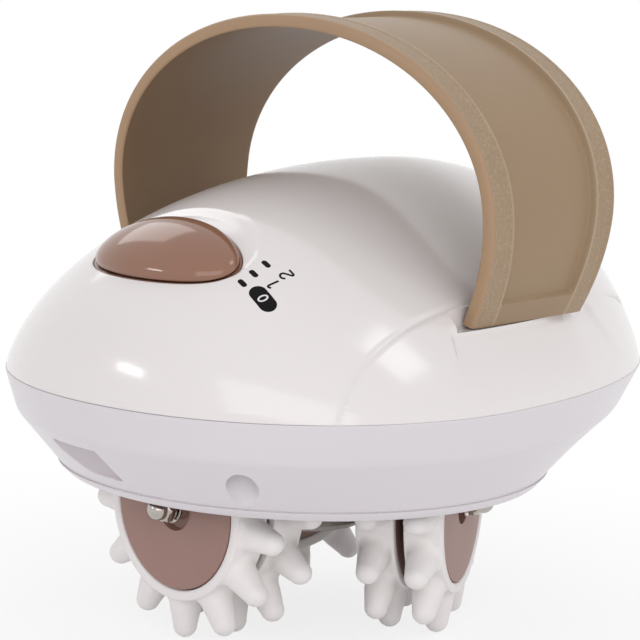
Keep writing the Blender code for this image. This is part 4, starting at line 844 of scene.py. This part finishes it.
def make_socket():
    """Barrel socket behind the notch's closed face: a turned sleeve with a bore along Y."""
    profile = rounded([(0.0010, 0.0), (0.0026, 0.0), (0.0026, 0.0046), (0.0010, 0.0046)], 0.0002, 4)

    def place(points):
        return points[..., [0, 2, 1]] + [NOTCH_MIDDLE_X, NOTCH_FACE_Y + 0.0031, SOCKET_Z]
    sleeve = turned_piece("power_socket_skin", profile, 48, place)
    dress(sleeve, DARK, "case", "black_plastic", "power_socket")


# Strap

def strap_line():
    """Outer line of the strap: legs x = A + (f - A) u^2 below the shoulder, a superellipse arch above it."""
    tongue = np.stack([np.full(5, STRAP_FOOT_X), np.linspace(TONGUE_Z, STRAP_FOOT_Z, 6)[:-1]], -1)
    drop = np.linspace(1, 0, 34)[:-1]
    leg = np.stack([STRAP_SPAN + (STRAP_FOOT_X - STRAP_SPAN) * drop ** 2,
                    SHOULDER_Z - (SHOULDER_Z - STRAP_FOOT_Z) * drop], -1)
    turn = np.linspace(0, np.pi, 150)
    arch = np.stack([STRAP_SPAN * signed_power(np.cos(turn), 2 / ARCH_POWER),
                     SHOULDER_Z + ARCH_RISE * np.abs(np.sin(turn)) ** (2 / ARCH_POWER)], -1)
    right = np.concatenate([tongue, leg])
    line = np.concatenate([right, arch, right[::-1] * [-1, 1]])
    foot = STRAP_FOOT_Z - TONGUE_Z
    return spaced(line, 330, (foot - 0.00004, foot, foot + 0.0003))


def half_section(z):
    """Half of the strap's section at each height, from the outer middle round the edge to the inner middle.

    Its columns are the sunk panel, an S-shaped step up, a band that is a little hollow, the edge with its
    two rounded corners, and the flat inside.
    """
    levels = [TONGUE_Z, STRAP_FOOT_Z, SHOULDER_Z, SHOULDER_Z + ARCH_RISE]
    wide = np.interp(z, levels, STRAP_HALF_WIDTHS)[:, None]
    same = wide * 0
    band, slope, corner, inner_corner = 0.0072, 0.0010, 0.0009, 0.0007
    panel_depth, hollow_depth, band_fall = 0.0014, 0.00022, 0.00012
    open_panel = smoothstep(0.0769, 0.0775, z)[:, None]
    depth = panel_depth * open_panel
    turns = quarter_turn(6)[:-1]
    half = [((wide - band - slope) * share, -depth) for share in np.linspace(0, 1, 12)[:-1]]
    for share in np.linspace(0, 1, 9):
        half.append((wide - band - slope * (1 - share), -depth * (1 - smoothstep(0.0, 0.9, share))))
    for share in (0.03, 0.07, 0.12, 0.2, 0.3, 0.45, 0.6, 0.75, 0.85, 0.92, 0.96, 1.0):
        hollow = hollow_depth * smoothstep(0.02, 0.16, share) * (1 - smoothstep(0.84, 0.98, share))
        half.append((wide - band + (band - corner) * share, -hollow * open_panel - band_fall * share ** 3))
    for turn in turns[1:]:
        half.append((wide - corner + corner * math.sin(turn),
                     same - band_fall - corner * (1 - math.cos(turn))))
    half.append((wide, same - STRAP_THICKNESS / 2))
    for turn in turns[:0:-1]:
        half.append((wide - inner_corner + inner_corner * math.sin(turn),
                     same - STRAP_THICKNESS + inner_corner * (1 - math.cos(turn))))
    for share in np.linspace(1, 0, 13)[:-1]:
        half.append(((wide - inner_corner) * share, same - STRAP_THICKNESS))
    return wide, np.concatenate([way for way, _ in half], 1), np.concatenate([depth for _, depth in half], 1)


def make_strap():
    """The section, mirrored across its middle, is carried along the outer line of the strap."""
    line = strap_line()
    ahead = ahead_of(line)
    outward = np.stack([ahead[:, 1], -ahead[:, 0]], -1)
    z = line[:, 1]
    wide, across, depth = half_section(z)
    across = np.concatenate([across, wide * 0, -across[:, :0:-1]], 1)
    depth = np.concatenate([depth, wide * 0 - STRAP_THICKNESS, depth[:, :0:-1]], 1)
    tongue = (z < STRAP_FOOT_Z - 0.00002)[:, None]
    depth = np.where(tongue, depth * (1 - TONGUE_INSET / STRAP_THICKNESS) - TONGUE_INSET, depth)
    across = np.where(tongue, across * (1 - TONGUE_NARROWING / wide), across)
    middle = STRAP_Y - 0.0005 * (1 - smoothstep(STRAP_FOOT_Z, 0.0940, z))[:, None]
    grid = np.stack([line[:, :1] + outward[:, :1] * depth, middle + across,
                     line[:, 1:] + outward[:, 1:] * depth], -1)
    strap = closed_grid("hand_strap_skin", grid, first=grid[0].mean(0), last=grid[-1].mean(0))
    dress(strap, TAN, "case", "tan_rubber", "strap")
    finishes = (TAN_BAND, TAN_EDGE, TAN_INSIDE_PAINTED_SHADE, TAN_LIP_PAINTED_HIGHLIGHT)
    # Faces from the middle of the panel to the middle of the inside, by the number of their finish
    # Finish 3 is the inside with painted shade
    # Finish 4 is the lips with a painted highlight
    parts = np.repeat([0, 4, 1, 2, 3], [18, 4, 10, 9, 12])
    paint_parts(strap, finishes, np.tile(np.concatenate([parts, [3], parts[:0:-1]]), len(line) - 1))


# Switch

def make_button():
    """A cap that follows the case, its height (1 - r^2.41)^0.42 of the crown over an oval, on a neck."""
    angle = full_turn(192)
    bottom = TRAY_FLOOR + 0.0003

    def ring(half_width, half_length, middle, rise):
        across = half_width * np.cos(angle) + CAP_SIDE
        along = middle + half_length * np.sin(angle)
        return np.stack([across, along, case_on_slope(across, along) + rise], -1)

    rows = []
    for share in np.sin(np.pi / 2 * np.linspace(0, 1, 46))[1:]:
        rise = CAP_GAP + max(1 - share ** 2.41, 0) ** 0.42 * (CAP_RISE - CAP_GAP)
        rows.append(ring(CAP_HALF_WIDTH * share, CAP_HALF_LENGTH * share, CAP_MIDDLE, rise))
    rows.append(ring(CAP_HALF_WIDTH * 0.996, CAP_HALF_LENGTH * 0.992, CAP_MIDDLE, CAP_GAP - 0.00012))
    neck = ring(NECK_HALF_WIDTH, NECK_HALF_LENGTH, SWITCH_REST, -0.0001)
    rows.append(neck)
    rows.append(neck * [1, 1, 0] + [0, 0, bottom])
    rows.append((neck - [0, SWITCH_REST, 0]) * [0.5, 0.5, 0] + [0, SWITCH_REST, bottom])
    peak = float(case_on_slope(CAP_SIDE, CAP_MIDDLE)) + CAP_RISE
    button = closed_grid("slide_button_skin", on_slope(rows), first=on_slope([CAP_SIDE, CAP_MIDDLE, peak]),
                         last=on_slope([0, SWITCH_REST, bottom]))
    dress(button, MOCHA, "switch", "mocha_plastic", "switch_knob")


def make_tray():
    """Oval tray whose rim follows the case: rows run over its floor, up inside, over the rim and down."""
    angle = full_turn(224)
    rim = case_on_slope(*recess_oval(angle, -0.0003).T) - 0.0005
    inside, outside = -0.0009, -0.0001
    # Margin round the recess, share of the way up from the floor to the rim, share of the way out
    steps = [(inside, 0, 0.5), (inside, 0, 0.985), (inside, 0.1, 1), (inside, 0.85, 1),
             (inside + 0.00005, 0.96, 1), (inside + 0.0002, 1, 1), (outside - 0.0002, 1, 1),
             (outside, 0.93, 1), (outside, 0, 1)]
    rows = [lifted(recess_oval(angle, margin, scale), TRAY_FLOOR + (rim - TRAY_FLOOR) * share)
            for margin, share, scale in steps]
    rows += [lifted(recess_oval(angle, outside, scale), TRAY_BOTTOM) for scale in (1, 0.985, 0.5)]
    tray = closed_grid("switch_tray_skin", on_slope(rows), first=on_slope([0, 0, TRAY_FLOOR]),
                       last=on_slope([0, 0, TRAY_BOTTOM]))
    dress(tray, MOCHA, "case", "mocha_plastic", "switch_tray")


# Printed marks

def on_dome(across, along, lift, place, turn):
    """Flat coordinates of a mark, turned about a place of the plan and laid on the dome at a lift."""
    normal = dome_normal(np.array([*place, float(dome_height(*place))]))
    side = np.cross([0, 1, 0], normal)
    side /= np.linalg.norm(side)
    up = np.cross(normal, side)
    across, along = swung(across, along, turn)
    flat = np.array([*place, 0]) + across[..., None] * side + along[..., None] * up
    x, y = flat[..., 0], flat[..., 1]
    points = np.stack([x, y, dome_height(x, y)], -1)
    points = points - dome_normal(points) * dish_relief(x, y)[..., None]
    return points + dome_normal(points) * lift


def ink_spot(name, half_long, half_wide, place):
    """A printed spot: a stadium outline in rings on top, and the same rings just under the surface."""
    angle = full_turn(48)
    straight = half_long - half_wide
    across = half_wide * np.cos(angle) + straight * np.sign(np.cos(angle)) * (np.abs(np.cos(angle)) > 1e-6)
    along = half_wide * np.sin(angle)
    rings = ((0.35, PRINT_LIFT), (0.7, PRINT_LIFT), (0.97, PRINT_LIFT), (1.0, PRINT_LIFT / 2),
             (1.0, PRINT_DEPTH), (0.5, PRINT_DEPTH))
    rows = [on_dome(across * share, along * share, height, place, PRINT_TILT) for share, height in rings]
    centre = np.zeros(1)
    piece = closed_grid(name, rows, first=on_dome(centre, centre, PRINT_LIFT, place, PRINT_TILT),
                        last=on_dome(centre, centre, PRINT_DEPTH, place, PRINT_TILT))
    dress(piece, BLACK, "case", "black_plastic")


def ink_numeral(figure, height, width, place):
    """A printed numeral: a flat ribbon of even width along its line, for the nought a white loop."""
    nought = figure == 0
    lift = FIGURE_LIFT if nought else PRINT_LIFT
    path = numeral_path(figure, height)
    ahead = ahead_of(path, nought)
    side = np.stack([-ahead[:, 1], ahead[:, 0]], -1)
    rows = []
    for level, shares in ((lift, (-0.5, 0, 0.5)), (PRINT_DEPTH, (0.5, 0, -0.5))):
        for share in shares:
            flat = path + side * width * share
            rows.append(on_dome(flat[:, 0], flat[:, 1], level, place, math.pi + PRINT_TILT))
    grid = np.stack(rows, 1)
    ends = {} if nought else {"first": grid[0].mean(0), "last": grid[-1].mean(0)}
    piece = closed_grid(f"setting_figure_{figure}", grid, loop_rows=nought, **ends)
    dress(piece, SHELL if nought else BLACK, "case", "gloss_white_plastic" if nought else "black_plastic")


def numeral_path(figure, height):
    """Lines of the numerals in a box one high, their corners cut off again and again until they are round."""
    if figure == 0:
        turn = full_turn(40)
        return np.stack([0.29 * np.cos(turn), 0.5 * np.sin(turn)], -1) * height
    if figure == 1:
        bow = np.radians(np.linspace(125, 0, 8))
        hook = np.stack([0.11 * np.cos(bow) - 0.06, 0.11 * np.sin(bow) + 0.38], -1)
        path = np.concatenate([[(-0.25, 0.38)], hook, [(0.05, 0), (0.05, -0.5)]])
    else:
        bow = np.radians(np.linspace(172, -38, 12))
        top = np.stack([0.27 * np.cos(bow), 0.23 + 0.27 * np.sin(bow)], -1)
        bow = np.radians(np.linspace(135, 270, 8))
        heel = np.stack([0.11 * np.cos(bow) - 0.19, 0.11 * np.sin(bow) - 0.39], -1)
        path = np.concatenate([top, heel, [(0.31, -0.5)]])
    for _ in range(3):
        before, after = path[:-1], path[1:]
        cut = np.stack([before * 0.75 + after * 0.25, before * 0.25 + after * 0.75], 1).reshape(-1, 2)
        path = np.concatenate([path[:1], cut, path[-1:]])
    return spaced(path, 56) * height


def make_marks():
    """A dash for each setting and a numeral beside it, the nought on a black pill."""
    for number, place in enumerate(DASH_PLACES):
        ink_spot(f"setting_dash_{number}", *DASH_SIZE, place)
    ink_spot("setting_pill", *PILL_SIZE, PILL_PLACE)
    for figure in FIGURES:
        ink_numeral(*figure)


# Rollers

def roller_place(number):
    """Returns the map from a roller's own axes (X down, Z out along its axle) to the object's place."""
    turn = CARRIER_ANGLE + math.tau * (number - 1) / 3
    matrix = np.array(Matrix.Rotation(turn, 3, "Z") @ Matrix.Rotation(math.pi / 2, 3, "Y"))

    def place(points):
        return points @ matrix.T + [0, HUB_Y, AXLE_Z]
    return place


def knob_sector():
    """One knob on its piece of the ring: a round profile that opens out to the sector's rectangle.

    Rows go down from the tip: a quarter round, a tapered side, and a hollow fillet whose distance from the
    knob's axis goes over to that of the rectangle's edge.
    """
    edge_x = RING_RADIUS * math.sin(math.pi / KNOBS)
    edge_y = RING_WIDTH / 2 - RING_EDGE
    side = np.linspace(-1, 1, 13)[:-1]
    whole = np.ones_like(side)
    outline = np.concatenate([np.stack(pair, -1) for pair in (
        (side * edge_x, -whole * edge_y), (whole * edge_x, side * edge_y),
        (-side * edge_x, whole * edge_y), (-whole * edge_x, -side * edge_y))])
    reach = np.linalg.norm(outline, axis=1)
    top = KNOB_REACH - RING_RADIUS
    rows = []
    for turn in quarter_turn(8)[1:]:
        rows.append((KNOB_TIP * math.sin(turn), top - KNOB_TIP + KNOB_TIP * math.cos(turn)))
    for share in np.linspace(0, 1, 6)[1:]:
        rows.append((KNOB_TIP + (KNOB_BASE - KNOB_TIP) * share,
                     top - KNOB_TIP - (top - KNOB_TIP - KNOB_FILLET) * share))
    limit = np.minimum(reach, KNOB_BASE + 0.0016)
    for turn in quarter_turn(9)[1:]:
        opened = (limit - KNOB_BASE) * (1 - math.cos(turn))
        rows.append((KNOB_BASE + opened, KNOB_FILLET * (1 - math.sin(turn))))
    rows.append((reach, 0.0))
    grid = []
    for distance, height in rows:
        x, y = (outline / reach[:, None] * np.reshape(distance, (-1, 1))).T
        grid.append(np.stack([x, y, np.sqrt(RING_RADIUS ** 2 - x ** 2) + height], -1))
    return np.array(grid), np.array([0, 0, RING_RADIUS + top]), side * edge_x


def ring_mesh():
    """The sector repeated round the axle, with one band that closes the sides and the bore."""
    grid, pole, across = knob_sector()
    rows, columns, _ = grid.shape
    points = np.concatenate([grid.reshape(-1, 3), pole[None]])
    quads = wrapped_faces(rows, columns)
    fan = fan_faces(0, columns, len(points) - 1)[:, ::-1]
    turns = np.arange(KNOBS) * 2 * np.pi / KNOBS
    # In a sector x runs round the ring, y along the axle and z away from it
    places = [np.stack([*swung(points[:, 2], points[:, 0], turn), points[:, 1]], -1) for turn in turns]
    angle = (turns[:, None] + np.arcsin(across / RING_RADIUS)[None]).ravel()
    half = RING_WIDTH / 2
    profile = [(RING_RADIUS - RING_EDGE * (1 - math.cos(turn)), half - RING_EDGE + RING_EDGE * math.sin(turn))
               for turn in quarter_turn(5)]
    profile += [(RING_RADIUS - 0.0012, half), (RING_BORE + 0.0003, half), (RING_BORE, half - 0.0003)]
    profile = np.array(profile + [(r, -z) for r, z in reversed(profile)])
    places.append(polar(profile[:, :1], angle, profile[:, 1:]).reshape(-1, 3))
    faces = []
    for part in (quads, fan):
        for k in range(KNOBS):
            faces += (part + k * len(points)).tolist()
    faces += (wrapped_faces(len(profile), len(angle)) + KNOBS * len(points)).tolist()
    mesh = bpy.data.meshes.new("knob_ring")
    mesh.from_pydata(np.concatenate(places).tolist(), [], faces)
    bm = bmesh.new()
    bm.from_mesh(mesh)
    bmesh.ops.remove_doubles(bm, verts=bm.verts, dist=2e-6)
    bmesh.ops.recalc_face_normals(bm, faces=bm.faces)
    bm.to_mesh(mesh)
    bm.free()
    return mesh


def placed_copy(mesh, name, middle, turn, place):
    """A copy of the ring's mesh turned about its axle, moved out along it and put in its place."""
    copy = mesh.copy()
    copy.name = name
    points = np.empty(len(copy.vertices) * 3, np.float32)
    copy.vertices.foreach_get("co", points)
    points = points.reshape(-1, 3).astype(float)
    points = np.stack([*swung(points[:, 0], points[:, 1], turn), points[:, 2] + middle], -1)
    copy.vertices.foreach_set("co", place(points).astype(np.float32).ravel())
    copy.update()
    return copy


def make_rollers():
    """On each axle two rings on their grooved core discs, with the washer and the nut that hold them."""
    ring = ring_mesh()
    face = RING_WIDTH / 2 - 0.0001
    groove = face - 0.0020
    front = [(AXLE_BORE, face), (0.0027, face), (0.0030, groove), (0.0050, groove), (0.0052, face),
             (CORE_RADIUS, face)]
    profile = rounded(front + [(radius, -height) for radius, height in reversed(front)], 0.00022)
    for number, turns in enumerate(RING_TURNS, 1):
        place = roller_place(number)
        body = f"roller_{number}"
        for k, word in enumerate(("outer", "inner")):
            middle = ROLLER_FACE - RING_WIDTH / 2 - k * RING_SPACING
            name = f"{word}_knob_ring_{number}"
            mesh = placed_copy(ring, name, middle, math.tau * turns[k] / KNOBS, place)
            dress(add_piece(name, mesh, math.radians(60)), SOFT_WHITE, body, "soft_white_rubber",
                  f"{word}_ring_{number}")
            core = turned_piece(f"{word}_core_disc_{number}", profile + [0, middle], 144, place)
            dress(core, MOCHA_MATT, body, "mocha_plastic", f"{word}_core_{number}")
        make_nut(number, place)
    bpy.data.meshes.remove(ring)


def make_nut(number, place):
    """Acorn nut: six flats whose corners a cone trims, a short neck and a round cap over it."""
    seat = ROLLER_FACE + 0.0012
    flats = 0.0055 / 2
    height = 0.0024
    cap = 0.0024
    bore_depth = 0.0036
    angle = full_turn(96)
    hexagon = flats / np.cos((angle + math.pi / 6) % (math.pi / 3) - math.pi / 6)
    corner = flats / math.cos(math.pi / 6)
    rows = [(AXLE_BORE, bore_depth), (AXLE_BORE, 0.0)]
    for level in (0.0, 0.0003, 0.0008, 0.0013, height - 0.0006, height - 0.0002, height):
        bottom, top = max(0, (0.0003 - level) / 0.0003), max(0, (level - height + 0.0006) / 0.0006)
        rows.append((np.minimum(hexagon, corner - 0.00045 * bottom - 0.0006 * top), level))
    neck = height + cap / 4
    rows += [(cap + 0.00002, height + 0.00006), (cap, neck - 0.0001)]
    rows += [(cap * math.cos(turn), neck + cap * math.sin(turn)) for turn in quarter_turn(14)[:-1]]
    grid = [polar(radius, angle, seat + level) for radius, level in rows]
    nut = closed_grid(f"acorn_nut_skin_{number}", place(grid), first=place([0, 0, seat + bore_depth]),
                      last=place([0, 0, seat + neck + cap]))
    dress(nut, CHROME, "carrier", "bright_steel", f"acorn_nut_{number}")
    low = ROLLER_FACE + 0.0003
    high = low + 0.0006
    profile = rounded([(AXLE_BORE, low), (0.0034, low), (0.0034, high), (AXLE_BORE, high)], 0.00012, 4)
    washer = turned_piece(f"axle_washer_skin_{number}", profile, 72, place)
    dress(washer, CHROME, "carrier", "bright_steel", f"axle_washer_{number}")


# Nodes that stay

def dress_nodes():
    """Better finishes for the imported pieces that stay, by the longest stem that a node's name begins with."""
    finishes = (
        (ZINC, ("case_screw", "carrier_screw", "frame_screw", "motor_screw", "clamp_screw", "motor_case",
                "slide_switch", "strap_clamp")),
        (STEEL, ("axle_1", "axle_2", "axle_3", "output_shaft", "motor_shaft", "worm")),
        (BRONZE, ("lower_bush", "upper_bush", "worm_end_bush")),
        (NYLON, ("gearbox_frame", "worm_wheel", "motor_end_cap")),
        (CLAY, ("roller_carrier", "carrier_cap")),
        (DARK, ("core_spacer", "switch_actuator")),
        (BOARD, ("switch_board",)),
        (LEAD, ("socket_lead", "motor_lead")),
    )
    for name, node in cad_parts.items():
        fits = [(len(stem), finish) for finish, stems in finishes for stem in stems if name.startswith(stem)]
        if fits:
            paint(node, max(fits, key=lambda fit: fit[0])[1])


# Stage

def make_floor():
    """A pale floor that goes over to plain white away from the object."""
    finish = Finish("pale_floor", Roughness=0.9, Specular_IOR_Level=0.0, Base_Color=rgb(250, 250, 250))
    away = finish.node("ShaderNodeVectorMath", {"operation": "LENGTH"}, [finish.place], 1)
    far = finish.step(away, 0.06, 0.17, 0.80, 1.0)
    glow = finish.node("ShaderNodeEmission", {}, {"Color": WHITE})
    finish.end_in("Material Output", finish.shown() * far, Socket(finish, finish.shader.outputs[0]), glow)
    corners = [(-1, -1), (1, -1), (1, 1), (-1, 1)]
    mesh = bpy.data.meshes.new("floor")
    mesh.from_pydata([(x * FLOOR_REACH, y * FLOOR_REACH, FLOOR_Z) for x, y in corners], [], [(0, 1, 2, 3)])
    mesh.materials.append(finish.material)
    linked("floor", mesh)


def make_world():
    """A soft grey world that shows as plain white."""
    world = bpy.data.worlds.new("studio")
    bpy.context.scene.world = world
    world.use_nodes = True
    wiring = Wiring(world.node_tree)
    back = wiring.tree.nodes["Background"]
    back.inputs["Color"].default_value = (1.0, 0.988, 0.985, 1)
    back.inputs["Strength"].default_value = 0.63
    white = wiring.node("ShaderNodeBackground", {}, {"Color": WHITE, "Strength": 1.0})
    wiring.end_in("World Output", wiring.shown(), Socket(wiring, back.outputs[0]), white)


def make_lamps():
    """Soft boxes, each turned towards the object from its own direction and distance."""
    for name, azimuth, elevation, distance, size, power, glossy in LAMPS:
        data = bpy.data.lights.new(name, "AREA")
        data.shape = "RECTANGLE"
        data.size, data.size_y = size
        data.energy = power
        lamp = linked(name, data)
        azimuth, elevation = math.radians(azimuth), math.radians(elevation)
        direction = Vector((math.cos(elevation) * math.cos(azimuth), math.cos(elevation) * math.sin(azimuth),
                            math.sin(elevation)))
        lamp.location = LAMP_TARGET + direction * distance
        lamp.visible_glossy = glossy
        lamp.rotation_euler = direction.to_track_quat("Z", "Y").to_euler()


def make_camera():
    """The photograph's view through a long lens."""
    turn, rise, roll = map(math.radians, (VIEW_TURN, VIEW_RISE, VIEW_ROLL))
    back = Vector((math.cos(rise) * math.sin(turn), -math.cos(rise) * math.cos(turn), math.sin(rise)))
    right = Vector((math.cos(turn), math.sin(turn), 0))
    up = back.cross(right)
    across = right * math.cos(roll) + up * math.sin(roll)
    upward = up * math.cos(roll) - right * math.sin(roll)
    data = bpy.data.cameras.new("camera")
    data.sensor_width = 36
    data.lens = PICTURE_FOCAL * data.sensor_width / PICTURE_SIZE
    data.shift_x = (PICTURE_SIZE / 2 - PICTURE_CENTRE[0]) / PICTURE_SIZE
    data.shift_y = (PICTURE_CENTRE[1] - PICTURE_SIZE / 2) / PICTURE_SIZE
    data.clip_start = 0.05
    data.clip_end = 50
    camera = linked("camera", data)
    place = back * VIEW_DISTANCE + Vector((0, WIDEST_Y, VIEW_AIM_Z))
    camera.matrix_world = Matrix.Translation(place) @ Matrix((across, upward, back)).transposed().to_4x4()
    bpy.context.scene.camera = camera


make_dome()
make_housing()
make_socket()
make_strap()
make_tray()
make_button()
make_marks()
make_rollers()
dress_nodes()
make_floor()
make_world()
make_lamps()
make_camera()
bpy.context.scene.view_settings.view_transform = "Standard"
